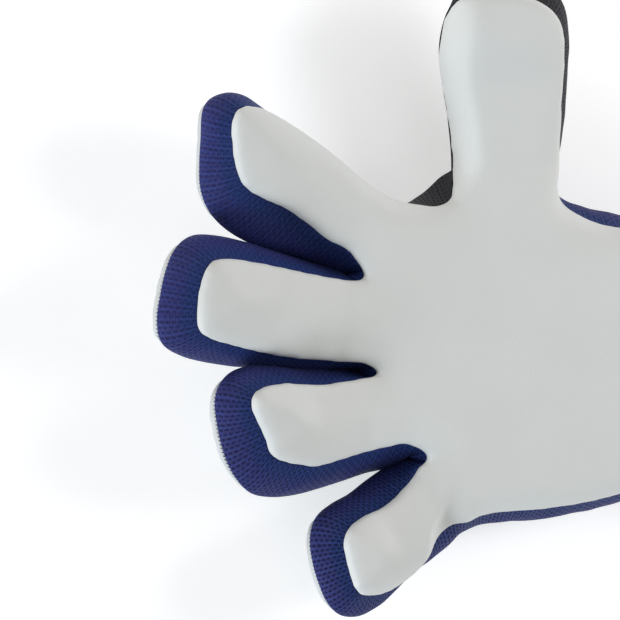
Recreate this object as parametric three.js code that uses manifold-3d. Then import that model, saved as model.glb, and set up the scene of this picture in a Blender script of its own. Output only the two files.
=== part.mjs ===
// A right-hand goalkeeper glove of the negative-cut kind, lying on its back with the palm up.
// Millimetres. +Z is the palm's normal, +Y runs to the fingertips and +X to the thumb's side.
// The origin is on the flat rest face of the knuckle pad, under the middle of the hand.
import * as THREE from "three";
import { mergeVertices } from "three/addons/utils/BufferGeometryUtils.js";
import Module from "manifold-3d";

const wasm = await Module();
wasm.setup();

// Fits and layers
const seamGap = 0.3; // between pieces that are sewn or lie on each other
const jointGap = 0.4; // between the two sides of a finger joint, at its axis
const fingerGap = 1.6; // between the side walls of neighbouring fingers
const palmFoam = 5; // latex foam with its backing
const backFoam = 4;
const liningThick = 2;
const gussetThick = 1.6;
const gussetTuck = 1; // how far a gusset stands in from the edge of a foam panel
const gussetBulge = 1.2;

// Heights
const centreHeight = 15; // of every digit's centre line where it leaves the hand
const handDepth = 28; // from the palm's face to the back's face, with the cavity between
const backLift = 1; // how far the back's face stands in from that depth
const palmEdgeDrop = 3; // how far a latex panel rounds off towards its rim
const backEdgeRise = 1.2;

// Hand shell, from the wrist seam to the crotches between the fingers
const wristSeamY = -66;
const palmWristHalf = 44;
const backWristHalf = 48;
const ulnarBulge = 3; // of the hand's edge on the little finger's side
const radialBulge = 5; // and on the thumb's side
const backOutset = 6; // the back's edge beyond the palm's edge at the knuckles
const pinkyEdge = { x: -57, y: 3 };
const ringPinkyWeb = { x: -32.8, y: 19 };
const middleRingWeb = { x: -3.7, y: 37.4 };
const indexMiddleWeb = { x: 28.7, y: 41.4 };
const indexEdge = { x: 53, y: 26 };
const thumbWebShare = 0.84; // of the way from the wrist seam to the index finger's edge
const ulnarBendShare = 0.86; // of the way from the wrist seam to the little finger's edge
const wristStationShare = 0.12; // of the side walls' first bend past the wrist seam
const middleStationShare = 0.5;
const stationStep = 5; // between the places that a side wall of the hand runs through beside a digit
const thumbStationStep = 15; // the same, on the thumb's far side
const liningSideShare = 0.62; // the linings' half width, of the hand's
const liningFromShare = 0.17; // their ends, of the way from the wrist seam to the crotches
const liningToShare = 0.8;

// Digits. A digit's centre line starts at baseX, baseY, heads off at its azimuth from +Y towards +X,
// and curls up towards the palm by curlDegrees over its reach.
const digits = {
  thumb: {
    baseX: 34, baseY: -16, azimuthDegrees: 86, curlDegrees: 24, rollDegrees: -8,
    reach: 96, palmReach: 94, palmHalf: 18, palmShift: -1, backHalf: 20.5, skewShare: 0,
    depth: 28, tipDepth: 22, knuckleAt: 33, middleAt: 63,
  },
  index: {
    baseX: 39.3, baseY: 30.8, azimuthDegrees: 26, curlDegrees: 28, rollDegrees: 7,
    reach: 73, palmReach: 76, palmHalf: 12.2, palmShift: 2.3, backHalf: 19.5, skewShare: 0.4,
    depth: 28, tipDepth: 21, knuckleAt: 16, middleAt: 42,
  },
  middle: {
    baseX: 13.2, baseY: 35.5, azimuthDegrees: 7.5, curlDegrees: 34, rollDegrees: 0,
    reach: 79, palmReach: 81, palmHalf: 14, palmShift: -1.3, backHalf: 20, skewShare: -0.1,
    depth: 28, tipDepth: 21, knuckleAt: 16, middleAt: 44,
  },
  ring: {
    baseX: -17.9, baseY: 18.5, azimuthDegrees: -5, curlDegrees: 35, rollDegrees: 1,
    reach: 75.5, palmReach: 76, palmHalf: 13.3, palmShift: 1, backHalf: 20, skewShare: 0.22,
    depth: 28, tipDepth: 21, knuckleAt: 25, middleAt: 48,
  },
  pinky: {
    baseX: -44, baseY: -0.8, azimuthDegrees: -27.5, curlDegrees: 30, rollDegrees: -5,
    reach: 66, palmReach: 64, palmHalf: 12.8, palmShift: 1.9, backHalf: 18.5, skewShare: -0.25,
    depth: 28, tipDepth: 19, knuckleAt: 20, middleAt: 41,
  },
};
const fingerRow = ["index", "middle", "ring", "pinky"]; // side by side, from the thumb's side
const stubFrom = -6; // where a finger's stub starts, inside the hand
const palmCorner = 10; // length of a fingertip's rounding, palm panel
const backCorner = 12;
const backOverhang = 2; // the back panel beyond the centre line's end
const tipPower = 2.6; // of the rounding: 2 is an ellipse, more is squarer
const rimPower = 3; // of the fall of a panel's face towards its side rims: more keeps more of it flat
const tipRimPower = 5; // and towards its rounded end
const handRimPower = 4; // and towards the sides of the hand
const rollRun = 20; // the stretch past the knuckle over which a digit's roll comes in
const hingeLevel = 4; // of the finger joints' axes, above the centre line
const knuckleFlexDegrees = 40;
const middleFlexDegrees = 45;
const extendDegrees = 8;

// Knuckle pad on the back, whose outer face is the rest face
const padLength = 52;
const padWidth = 76;
const padCentreY = -12;
const padCorner = 12;
const padBevel = 0.5;

// Cuff
const cuffTuckY = -58; // its upper end, sewn in between palm and back
const cuffNeckY = -66;
const cuffFullY = -76;
const cuffEndY = -136;
const cuffTuckGap = 0.4; // between that end and the side walls that it is sewn to
const cuffTuckHalf = palmWristHalf - gussetTuck - gussetThick - cuffTuckGap;
const cuffHalf = 42;
const cuffEndHalf = 44;
const cuffTuckRise = 8.6; // half heights
const cuffRise = 11.7;
const cuffWall = 2.2;
const cuffPower = 2.4;
const bindingWidth = 3.2;
const bindingLap = 1; // how far the binding stands proud of the sleeve, inside and out

// Strap. Its angles run round the cuff from the thumb's side over the palm's side.
const strapFromY = -82;
const strapWidth = 40;
const flareFromY = strapFromY - strapWidth; // where the cuff begins to widen
const strapThick = 2.4;
const strapEdgeDrop = 0.6;
const strapStartDegrees = 300;
const strapRampDegrees = 152;
const flapRootDegrees = 119;
const flapEndDegrees = 52;
const flapGapDegrees = 0.6;
const loopPatchThick = 1;
const loopPatchEndDegrees = 44;
const hookPatchThick = 0.8;
const hookPatchFromDegrees = 108;
const patchMargin = 3; // of each fastener patch inside the strap's edges
const patchInDegrees = 5; // and inside the flap's ends
const tabEndDegrees = 33;
const tabWidth = 24;
const tabThick = 2;
const tabRidge = 0.8;
const tabRidgeCount = 4;
const tabMiddleShare = 0.5; // of its width

// Pull-on loop of webbing at the cuff's palm side
const loopWidth = 14;
const loopLength = 26;
const loopHeight = 10;
const loopWebbing = 2;
const loopFootLength = 8;
const loopSwingGap = 0.5; // between the loop's round end and its foot

// Counts of steps in the grids. Rows run along a piece and columns across it.
const panelColumns = 8;
const middleRows = 3;
const tipRows = 6;
const wallRows = 3; // from the palm to the back
const sideWallSteps = 4;
const tipWallSteps = 18;
const wallStraightShare = 0.22; // of the tip wall's steps, on each straight side
const handWallSteps = 12;
const handRows = 6;
const handColumns = 14;
const liningRows = 4;
const liningColumns = 8;
const cuffColumns = 32;
const strapRows = 24;
const flapRows = 10;
const patchRows = 10;
const bandColumns = 4;
const ridgeRows = 4; // to each ridge of the tab
const tabColumns = 2;
const loopArcSteps = 8;
const padArcSteps = 6;
const padBevelSteps = 2;

const latex = { color: "#dcddd9", roughness: 0.62, metalness: 0 };
const greyFoam = { color: "#c9ccc9", roughness: 0.66, metalness: 0 };
const knit = { color: "#1f2d70", roughness: 0.85, metalness: 0 };
const darkKnit = { color: "#17181b", roughness: 0.85, metalness: 0 };
const lining = { color: "#e9e9e6", roughness: 0.9, metalness: 0 };
const strapRubber = { color: "#22306f", roughness: 0.55, metalness: 0 };
const fastener = { color: "#1b1d22", roughness: 0.95, metalness: 0 };

const model = new THREE.Group();
const up = new THREE.Vector3(0, 0, 1);
const { clamp, degToRad, lerp, smoothstep } = THREE.MathUtils;

// Closed shells between an outer and an inner grid of points

// Both grids are lists of equal rows. A ring's rows close on themselves.
function shell(outer, inner, ring = false) {
  const rows = outer.length;
  const columns = outer[0].length;
  const points = [...outer.flat(), ...inner.flat()];
  const index = [];
  const id = (layer, i, j) => layer * rows * columns + i * columns + (j % columns);
  const quad = (a, b, c, d) => index.push(a, b, c, a, c, d);
  const lastColumn = ring ? columns : columns - 1;
  for (let i = 0; i < rows - 1; i++) {
    for (let j = 0; j < lastColumn; j++) {
      quad(id(0, i, j), id(0, i + 1, j), id(0, i + 1, j + 1), id(0, i, j + 1));
      quad(id(1, i, j), id(1, i, j + 1), id(1, i + 1, j + 1), id(1, i + 1, j));
    }
  }
  for (let j = 0; j < lastColumn; j++) {
    quad(id(0, 0, j), id(0, 0, j + 1), id(1, 0, j + 1), id(1, 0, j));
    quad(id(0, rows - 1, j), id(1, rows - 1, j), id(1, rows - 1, j + 1), id(0, rows - 1, j + 1));
  }
  for (let i = 0; i < rows - 1 && !ring; i++) {
    quad(id(0, i, 0), id(1, i, 0), id(1, i + 1, 0), id(0, i + 1, 0));
    const j = columns - 1;
    quad(id(0, i, j), id(0, i + 1, j), id(1, i + 1, j), id(1, i, j));
  }
  return facingOut(points, index);
}

function facingOut(points, index) {
  let volume = 0;
  const cross = new THREE.Vector3();
  for (let k = 0; k < index.length; k += 3) {
    const [a, b, c] = [points[index[k]], points[index[k + 1]], points[index[k + 2]]];
    volume += a.dot(cross.crossVectors(b, c));
  }
  const faces = volume < 0 ? [...index].reverse() : index;
  const positions = points.flatMap((p) => [p.x, p.y, p.z]);
  return new THREE.BufferGeometry()
    .setAttribute("position", new THREE.Float32BufferAttribute(positions, 3))
    .setIndex(faces);
}

// A grid of rows × columns points from a function of two shares, each from 0 to 1.
function grid(rows, columns, pointAt) {
  return Array.from({ length: rows + 1 }, (_, i) =>
    Array.from({ length: columns + 1 }, (_, j) => pointAt(i / rows, j / columns)),
  );
}

function solid(geometry) {
  const bare = geometry.index ? geometry.toNonIndexed() : geometry.clone();
  bare.deleteAttribute("normal");
  bare.deleteAttribute("uv");
  const merged = mergeVertices(bare);
  return new wasm.Manifold(
    new wasm.Mesh({
      numProp: 3,
      vertProperties: merged.attributes.position.array,
      triVerts: new Uint32Array(merged.index.array),
    }),
  );
}

function joined(geometries) {
  const whole = geometries.map(solid).reduce((sum, next) => sum.add(next));
  const { vertProperties, triVerts } = whole.getMesh();
  return new THREE.BufferGeometry()
    .setAttribute("position", new THREE.BufferAttribute(vertProperties, 3))
    .setIndex(new THREE.BufferAttribute(triVerts, 1));
}

function addPiece(name, geometry, finish) {
  const mesh = new THREE.Mesh(geometry, new THREE.MeshStandardMaterial(finish));
  mesh.name = name;
  model.add(mesh);
}

// The form of a digit: s runs along its centre line, u across it towards the thumb's side, v towards the palm

function headings(digit) {
  const azimuth = degToRad(digit.azimuthDegrees);
  return {
    forward: new THREE.Vector3(Math.sin(azimuth), Math.cos(azimuth), 0),
    across: new THREE.Vector3(Math.cos(azimuth), -Math.sin(azimuth), 0),
  };
}

function centreAt(digit, s) {
  const bend = degToRad(digit.curlDegrees) / digit.reach;
  const slope = bend * s;
  const point = new THREE.Vector3(digit.baseX, digit.baseY, centreHeight);
  point.addScaledVector(headings(digit).forward, Math.sin(slope) / bend);
  point.addScaledVector(up, (1 - Math.cos(slope)) / bend);
  return { point, slope };
}

function place(digit, s, u, v) {
  const { forward, across } = headings(digit);
  const { point, slope } = centreAt(digit, s);
  const roll = degToRad(digit.rollDegrees) * smoothstep(s, digit.knuckleAt, digit.knuckleAt + rollRun);
  const normal = up.clone().multiplyScalar(Math.cos(slope)).addScaledVector(forward, -Math.sin(slope));
  return point
    .addScaledVector(across, u * Math.cos(roll) + v * Math.sin(roll))
    .addScaledVector(normal, v * Math.cos(roll) - u * Math.sin(roll));
}

function depthAt(digit, s) {
  return lerp(digit.depth, digit.tipDepth, clamp(s / digit.reach, 0, 1));
}

// Heights of the faces that the side walls stand between, at a share from the palm, 0, to the back, 1.
function wallLevel(digit, s, share) {
  const half = depthAt(digit, s) / 2;
  return lerp(half - palmFoam - seamGap, backLift + backFoam + seamGap - half, share);
}

// Half the room towards the neighbouring finger on one side.
function roomAt(name, side, s) {
  const order = fingerRow.indexOf(name);
  const neighbour = order < 0 ? undefined : digits[fingerRow[order - side]];
  if (!neighbour) return Infinity;
  const digit = digits[name];
  const { point } = centreAt(digit, s);
  point.sub(new THREE.Vector3(neighbour.baseX, neighbour.baseY, centreHeight));
  const apart = Math.abs(point.dot(headings(neighbour).across));
  const fan = degToRad(digit.azimuthDegrees - neighbour.azimuthDegrees);
  return apart / (1 + Math.cos(fan)) - fingerGap / 2;
}

// How far a digit's edge lies from its centre line: share 0 is the palm panel, 1 the back panel.
function edgeAt(name, side, share, s) {
  const digit = digits[name];
  const palmEdge = side * digit.palmHalf + digit.palmShift;
  const backEdge = side * Math.min(digit.backHalf, roomAt(name, side, s));
  return lerp(palmEdge, backEdge, share);
}

// An end of a piece at a finger joint, at height v: a wedge that closes as the digit bends.
// beyond is 1 for a piece past the joint and -1 for one before it.
function jointEnd(digit, at, flexDegrees, beyond) {
  const curvature = degToRad(digit.curlDegrees) / digit.reach;
  return (v) => {
    const bend = degToRad(v > hingeLevel ? flexDegrees : extendDegrees);
    const opening = jointGap / 2 + Math.abs(v - hingeLevel) * Math.tan(bend / 2);
    return at + (beyond * opening) / (1 - v * curvature);
  };
}

function plainEnd(at) {
  return () => at;
}

function signedPower(value, power) {
  return Math.sign(value) * Math.abs(value) ** power;
}

// The outline of a digit's tip at a share between palm and back. turn goes from 1, the side towards the
// thumb, to -1, the other side.
function tipOutline(name, share, inset, turn) {
  const digit = digits[name];
  const reach = lerp(digit.palmReach, digit.reach + backOverhang, share) - inset;
  const corner = lerp(palmCorner, backCorner, share) - inset;
  const straightEnd = reach - corner;
  const plus = edgeAt(name, 1, share, straightEnd) - inset;
  const minus = edgeAt(name, -1, share, straightEnd) + inset;
  const along = Math.max(Math.cos((turn * Math.PI) / 2), 0) ** (2 / tipPower);
  const out = signedPower(Math.sin((turn * Math.PI) / 2), 2 / tipPower);
  const half = (plus - minus) / 2;
  const s = straightEnd + corner * along + digit.skewShare * half * out * along;
  return { s, u: (plus + minus) / 2 + half * out, out, straightEnd };
}

// Foam panels of the digits

// Height of a panel's face over the centre line. round is 1 at a rounded rim and 0 in the middle.
function faceLevel(digit, s, share, isOuter, round) {
  const half = depthAt(digit, s) / 2;
  if (share === 0) return half - (isOuter ? palmEdgeDrop * round : palmFoam);
  return backLift - half + (isOuter ? backEdgeRise * round : backFoam);
}

// A panel from one end to another, or to the digit's rounded tip where there is no second end.
function panel(name, share, start, end) {
  const digit = digits[name];
  const face = (isOuter) => (t, w) => {
    const tip = tipOutline(name, share, 0, 1 - 2 * w);
    const sideRim = Math.abs(tip.out) ** rimPower;
    const round = end ? sideRim : 1 - (1 - sideRim) * (1 - t ** tipRimPower);
    const level = (s) => faceLevel(digit, s, share, isOuter, round);
    const from = start(level(start(0)));
    const to = end ? end(level(end(0))) : tip.s;
    const s = lerp(from, to, t);
    const edges = [-1, 1].map((side) => edgeAt(name, side, share, s));
    return place(digit, s, lerp(edges[0], edges[1], (tip.out + 1) / 2), level(s));
  };
  const rows = end ? middleRows : tipRows;
  return shell(grid(rows, panelColumns, face(true)), grid(rows, panelColumns, face(false)));
}

// Side walls of the digits

// A point of a side wall, inset from the rims of the foam panels. share runs from the palm to the back.
function wallPoint(name, side, s, share, inset) {
  const bulge = gussetBulge * Math.sin(share * Math.PI);
  const u = edgeAt(name, side, share, s) - side * (gussetTuck + inset - bulge);
  return place(digits[name], s, u, wallLevel(digits[name], s, share));
}

function sideWall(name, side, start, end) {
  const face = (inset) => (t, share) => {
    const v = wallLevel(digits[name], start(0), share);
    return wallPoint(name, side, lerp(start(v), end(v), t), share, inset);
  };
  return shell(grid(sideWallSteps, wallRows, face(0)), grid(sideWallSteps, wallRows, face(gussetThick)));
}

// The wall that runs up one side of a digit, round its tip and down the other side.
function tipWall(name, start) {
  const digit = digits[name];
  const face = (inset) => (t, share) => {
    const bulge = gussetBulge * Math.sin(share * Math.PI);
    const turn = clamp((1 - 2 * t) / (1 - 2 * wallStraightShare), -1, 1);
    const tip = tipOutline(name, share, gussetTuck + inset - bulge, turn);
    if (Math.abs(turn) < 1) return place(digit, tip.s, tip.u, wallLevel(digit, tip.s, share));
    const from = start(wallLevel(digit, start(0), share));
    const s = lerp(from, tip.straightEnd, Math.min(t, 1 - t) / wallStraightShare);
    return wallPoint(name, Math.sign(turn), s, share, inset);
  };
  return shell(grid(tipWallSteps, wallRows, face(0)), grid(tipWallSteps, wallRows, face(gussetThick)));
}

// The hand's sheets, between the wrist seam and the crotches

const crotchLine = (outset) =>
  new THREE.CatmullRomCurve3([
    new THREE.Vector3(pinkyEdge.x - outset, pinkyEdge.y, 0),
    new THREE.Vector3(ringPinkyWeb.x, ringPinkyWeb.y, 0),
    new THREE.Vector3(middleRingWeb.x, middleRingWeb.y, 0),
    new THREE.Vector3(indexMiddleWeb.x, indexMiddleWeb.y, 0),
    new THREE.Vector3(indexEdge.x + outset, indexEdge.y, 0),
  ]);

// q runs across from -1, the little finger's side, to 1. share 0 is the palm's outline, 1 the back's.
function handPoint(t, q, share, height) {
  const end = crotchLine(backOutset * share).getPoint((q + 1) / 2);
  const wrist = new THREE.Vector3(q * lerp(palmWristHalf, backWristHalf, share), wristSeamY, 0);
  const point = wrist.lerp(end, t);
  point.x += (q < 0 ? ulnarBulge : radialBulge) * q * Math.sin(t * Math.PI);
  point.z = height;
  return point;
}

const palmFace = centreHeight + handDepth / 2;
const palmInside = palmFace - palmFoam;
const backFace = centreHeight - handDepth / 2 + backLift;
const backInside = backFace + backFoam;

function handSheet(share, faceHeight, insideHeight, rimChange) {
  const face = (height, change) => (t, w) =>
    handPoint(t, 2 * w - 1, share, height + change * (2 * w - 1) ** handRimPower);
  const outer = grid(handRows, handColumns, face(faceHeight, rimChange));
  return shell(outer, grid(handRows, handColumns, face(insideHeight, 0)));
}

function liningSheet(share, low) {
  const face = (height) => (t, w) => {
    const along = lerp(liningFromShare, liningToShare, t);
    return handPoint(along, lerp(-liningSideShare, liningSideShare, w), share, height);
  };
  const high = low + liningThick;
  return shell(grid(liningRows, liningColumns, face(high)), grid(liningRows, liningColumns, face(low)));
}

function handFoam(share, sheet) {
  const stubs = Object.keys(digits).map((name) => {
    const end = jointEnd(digits[name], digits[name].knuckleAt, knuckleFlexDegrees, -1);
    return panel(name, share, plainEnd(stubFrom), end);
  });
  return joined([sheet, ...stubs]);
}

// Side walls of the hand, through stations. A station holds a wall's points from its top to its foot.

const wallShares = Array.from({ length: wallRows + 1 }, (_, k) => k / wallRows);

function digitStation(name, side, back) {
  const digit = digits[name];
  const end = jointEnd(digit, digit.knuckleAt - back, back ? 0 : knuckleFlexDegrees, -1);
  return wallShares.map((share) => {
    const v = wallLevel(digit, digit.knuckleAt, share);
    return wallPoint(name, side, end(v), share, 0);
  });
}

// A wall's top is under the palm panels of the hand and of the digits beside it, and its foot is over
// their back panels. bulge is along X.
function stationBetween(topPlace, footPlace, names, bulge) {
  const heights = (share) =>
    names.map((name) => {
      const digit = digits[name];
      const base = new THREE.Vector3(digit.baseX, digit.baseY, 0);
      const s = Math.max(footPlace.clone().sub(base).dot(headings(digit).forward), 0);
      return place(digit, s, 0, wallLevel(digit, s, share)).z;
    });
  const top = topPlace.clone().setZ(Math.min(palmInside - seamGap, ...heights(0)));
  const foot = footPlace.clone().setZ(Math.max(backInside + seamGap, ...heights(1)));
  return wallShares.map((share) => {
    const point = top.clone().lerp(foot, share);
    point.x += bulge * Math.sin(share * Math.PI);
    return point;
  });
}

function edgeStation(side, t, names = []) {
  const [topPlace, footPlace] = [0, 1].map((share) => {
    const point = handPoint(t, side, share, 0);
    point.x -= side * gussetTuck;
    return point;
  });
  return stationBetween(topPlace, footPlace, names, side * gussetBulge);
}

function webStation(web, names) {
  const behind = new THREE.Vector3(web.x, web.y - gussetTuck, 0);
  return stationBetween(behind, behind, names, 0);
}

function handWall(stations) {
  const curves = wallShares.map(
    (_, k) => new THREE.CatmullRomCurve3(stations.map((station) => station[k]), false, "centripetal"),
  );
  const face = (inset) => (t, share) => {
    const heading = new THREE.Vector3();
    curves.forEach((curve) => heading.add(curve.getTangent(t)));
    const outward = heading.setZ(0).normalize().cross(up);
    return curves[Math.round(share * wallRows)].getPoint(t).addScaledVector(outward, -inset);
  };
  return shell(grid(handWallSteps, wallRows, face(0)), grid(handWallSteps, wallRows, face(gussetThick)));
}

// Cuff, strap and loop

// A point on the sleeve's outside, moved out by an offset. Angles run from the thumb's side over the palm.
function sleevePoint(y, degrees, offset) {
  const tucked = smoothstep(-y, -cuffNeckY, -cuffFullY);
  const flared = smoothstep(-y, -flareFromY, -cuffEndY);
  const half = lerp(lerp(cuffTuckHalf, cuffHalf, tucked), cuffEndHalf, flared) + offset;
  const rise = lerp(cuffTuckRise, cuffRise, tucked) + offset;
  const angle = degToRad(degrees);
  return new THREE.Vector3(
    half * signedPower(Math.cos(angle), 2 / cuffPower),
    y,
    centreHeight + rise * signedPower(Math.sin(angle), 2 / cuffPower),
  );
}

// Steps of equal angle all the way round, with a point at the lowest and at the highest place.
function sleeveRing(y, offset) {
  return Array.from({ length: cuffColumns }, (_, k) => sleevePoint(y, (k * 360) / cuffColumns, offset));
}

function sleeve(ys, outerOffset, innerOffset) {
  return shell(ys.map((y) => sleeveRing(y, outerOffset)), ys.map((y) => sleeveRing(y, innerOffset)), true);
}

// A band round part of the sleeve, between two angles. lift gives its underside's offset at an angle.
function band(fromDegrees, toDegrees, margin, lift, thick, edgeDrop, rows) {
  const nearEdge = strapFromY - margin;
  const farEdge = flareFromY + margin;
  const face = (isOuter) => (t, w) => {
    const degrees = lerp(fromDegrees, toDegrees, t);
    const offset = lift(degrees) + (isOuter ? thick - edgeDrop * (2 * w - 1) ** 2 : 0);
    return sleevePoint(lerp(nearEdge, farEdge, w), degrees, offset);
  };
  return shell(grid(rows, bandColumns, face(true)), grid(rows, bandColumns, face(false)));
}

const hookLift = seamGap + loopPatchThick + seamGap;
const flapLift = hookLift + hookPatchThick + seamGap;
const strapLift = (degrees) =>
  lerp(seamGap, flapLift, smoothstep(-degrees, -strapRampDegrees, -flapRootDegrees - flapGapDegrees));

// The tab's face has ridges across it for the fingers.
function pullTab() {
  const middle = strapFromY - strapWidth / 2;
  const from = flapEndDegrees - flapGapDegrees;
  const face = (isOuter) => (t, w) => {
    const ridge = (tabRidge * (1 - Math.cos(t * tabRidgeCount * 2 * Math.PI))) / 2;
    const offset = flapLift + (isOuter ? tabThick + ridge : 0);
    return sleevePoint(middle + tabWidth * (w - tabMiddleShare), lerp(from, tabEndDegrees, t), offset);
  };
  const rows = tabRidgeCount * ridgeRows;
  return shell(grid(rows, tabColumns, face(true)), grid(rows, tabColumns, face(false)));
}

function stadium(length, height, Kind) {
  const radius = height / 2;
  const outline = new Kind();
  outline.absarc(radius, 0, radius, Math.PI / 2, -Math.PI / 2);
  outline.absarc(length - radius, 0, radius, -Math.PI / 2, Math.PI / 2);
  return outline;
}

// Turns an extrusion so that its length runs away from the fingers and its depth across the cuff.
function alongCuff(geometry, y, z) {
  const turn = new THREE.Matrix4().makeBasis(new THREE.Vector3(0, -1, 0), up, new THREE.Vector3(-1, 0, 0));
  return geometry.applyMatrix4(turn).translate(loopWidth / 2, y, z);
}

const bindingFromY = cuffEndY - seamGap;
const bindingEndY = bindingFromY - bindingWidth;
const loopBase = centreHeight + cuffRise + bindingLap + seamGap;

function pullLoop() {
  const outline = stadium(loopLength, loopHeight, THREE.Shape);
  const hole = stadium(loopLength - 2 * loopWebbing, loopHeight - 2 * loopWebbing, THREE.Path);
  const inside = hole.getPoints(loopArcSteps).map((p) => p.add(new THREE.Vector2(loopWebbing, 0)));
  outline.holes.push(new THREE.Path(inside));
  const geometry = new THREE.ExtrudeGeometry(outline, {
    depth: loopWidth, bevelEnabled: false, curveSegments: loopArcSteps,
  });
  return alongCuff(geometry, bindingEndY - loopSwingGap, loopBase + loopWebbing / 2);
}

function pullLoopFoot() {
  const foot = new THREE.BoxGeometry(loopWidth, loopFootLength, loopWebbing);
  return foot.translate(0, bindingEndY + loopFootLength / 2, loopBase + loopWebbing / 2);
}

function knucklePad() {
  const thick = backFace - seamGap;
  const [x, y] = [padWidth / 2 - padBevel, padLength / 2 - padBevel];
  const outline = new THREE.Shape();
  outline.absarc(x - padCorner, y - padCorner, padCorner, 0, Math.PI / 2);
  outline.absarc(padCorner - x, y - padCorner, padCorner, Math.PI / 2, Math.PI);
  outline.absarc(padCorner - x, padCorner - y, padCorner, Math.PI, -Math.PI / 2);
  outline.absarc(x - padCorner, padCorner - y, padCorner, -Math.PI / 2, 0);
  const pad = new THREE.ExtrudeGeometry(outline, {
    depth: thick - 2 * padBevel, bevelThickness: padBevel, bevelSize: padBevel,
    bevelSegments: padBevelSteps, curveSegments: padArcSteps,
  });
  return pad.translate(0, padCentreY, padBevel);
}

// The pieces of the hand

addPiece("palm_latex", handFoam(0, handSheet(0, palmFace, palmInside, -palmEdgeDrop)), latex);
addPiece("backhand_panel", handFoam(1, handSheet(1, backFace, backInside, backEdgeRise)), greyFoam);
addPiece("palm_lining", liningSheet(0, palmInside - seamGap - liningThick), lining);
addPiece("backhand_lining", liningSheet(1, backInside + seamGap), lining);
addPiece("knuckle_pad", knucklePad(), latex);

const crotchWall = (nearer, further, web) =>
  handWall([
    digitStation(nearer, -1, 0),
    digitStation(nearer, -1, stationStep),
    webStation(web, [nearer, further]),
    digitStation(further, 1, stationStep),
    digitStation(further, 1, 0),
  ]);
addPiece("index_middle_crotch_gusset", crotchWall("index", "middle", indexMiddleWeb), knit);
addPiece("middle_ring_crotch_gusset", crotchWall("middle", "ring", middleRingWeb), knit);
addPiece("ring_pinky_crotch_gusset", crotchWall("ring", "pinky", ringPinkyWeb), knit);

const radialStations = [
  edgeStation(1, 0),
  edgeStation(1, wristStationShare),
  digitStation("thumb", 1, thumbStationStep),
  digitStation("thumb", 1, stationStep),
  digitStation("thumb", 1, 0),
];
const webStations = [
  digitStation("thumb", -1, 0),
  digitStation("thumb", -1, stationStep),
  edgeStation(1, thumbWebShare, ["thumb", "index"]),
  digitStation("index", 1, stationStep),
  digitStation("index", 1, 0),
];
const ulnarStations = [
  digitStation("pinky", -1, 0),
  digitStation("pinky", -1, stationStep),
  edgeStation(-1, ulnarBendShare, ["pinky"]),
  edgeStation(-1, middleStationShare),
  edgeStation(-1, wristStationShare),
  edgeStation(-1, 0),
];
addPiece("radial_side_gusset", handWall(radialStations), knit);
addPiece("thumb_web_gusset", handWall(webStations), darkKnit);
addPiece("ulnar_side_gusset", handWall(ulnarStations), knit);

// The pieces of the digits

for (const [name, digit] of Object.entries(digits)) {
  const knuckle = jointEnd(digit, digit.knuckleAt, knuckleFlexDegrees, 1);
  const beforeMiddle = jointEnd(digit, digit.middleAt, middleFlexDegrees, -1);
  const pastMiddle = jointEnd(digit, digit.middleAt, middleFlexDegrees, 1);
  const sideKnit = name === "thumb" ? darkKnit : knit;
  addPiece(`${name}_palm_middle`, panel(name, 0, knuckle, beforeMiddle), latex);
  addPiece(`${name}_back_middle`, panel(name, 1, knuckle, beforeMiddle), greyFoam);
  addPiece(`${name}_radial_gusset`, sideWall(name, 1, knuckle, beforeMiddle), sideKnit);
  addPiece(`${name}_ulnar_gusset`, sideWall(name, -1, knuckle, beforeMiddle), sideKnit);
  addPiece(`${name}_palm_tip`, panel(name, 0, pastMiddle), latex);
  addPiece(`${name}_back_tip`, panel(name, 1, pastMiddle), greyFoam);
  addPiece(`${name}_tip_gusset`, tipWall(name, pastMiddle), sideKnit);
}

// The pieces at the wrist

const sleeveYs = [cuffTuckY, cuffNeckY, (cuffNeckY + cuffFullY) / 2, cuffFullY, flareFromY, cuffEndY];
addPiece("cuff_sleeve", sleeve(sleeveYs, 0, -cuffWall), knit);
addPiece("cuff_binding", sleeve([bindingFromY, bindingEndY], bindingLap, -cuffWall - bindingLap), darkKnit);

const patch = (fromDegrees, toDegrees, lift, thick) =>
  band(fromDegrees, toDegrees, patchMargin, () => lift, thick, 0, patchRows);
addPiece(
  "wrist_strap",
  band(strapStartDegrees, flapRootDegrees + flapGapDegrees, 0, strapLift, strapThick, strapEdgeDrop, strapRows),
  strapRubber,
);
addPiece(
  "strap_flap",
  band(flapRootDegrees, flapEndDegrees, 0, () => flapLift, strapThick, strapEdgeDrop, flapRows),
  strapRubber,
);
addPiece(
  "strap_loop_patch",
  patch(flapRootDegrees - patchInDegrees, loopPatchEndDegrees, seamGap, loopPatchThick),
  fastener,
);
addPiece(
  "strap_hook_patch",
  patch(hookPatchFromDegrees, flapEndDegrees + patchInDegrees, hookLift, hookPatchThick),
  fastener,
);
addPiece("strap_pull_tab", pullTab(), darkKnit);
addPiece("pull_loop_foot", pullLoopFoot(), darkKnit);
addPiece("pull_loop", pullLoop(), darkKnit);

export default model;
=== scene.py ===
import bmesh
import bpy
import math
from mathutils import Matrix, Vector, kdtree, noise


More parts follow.
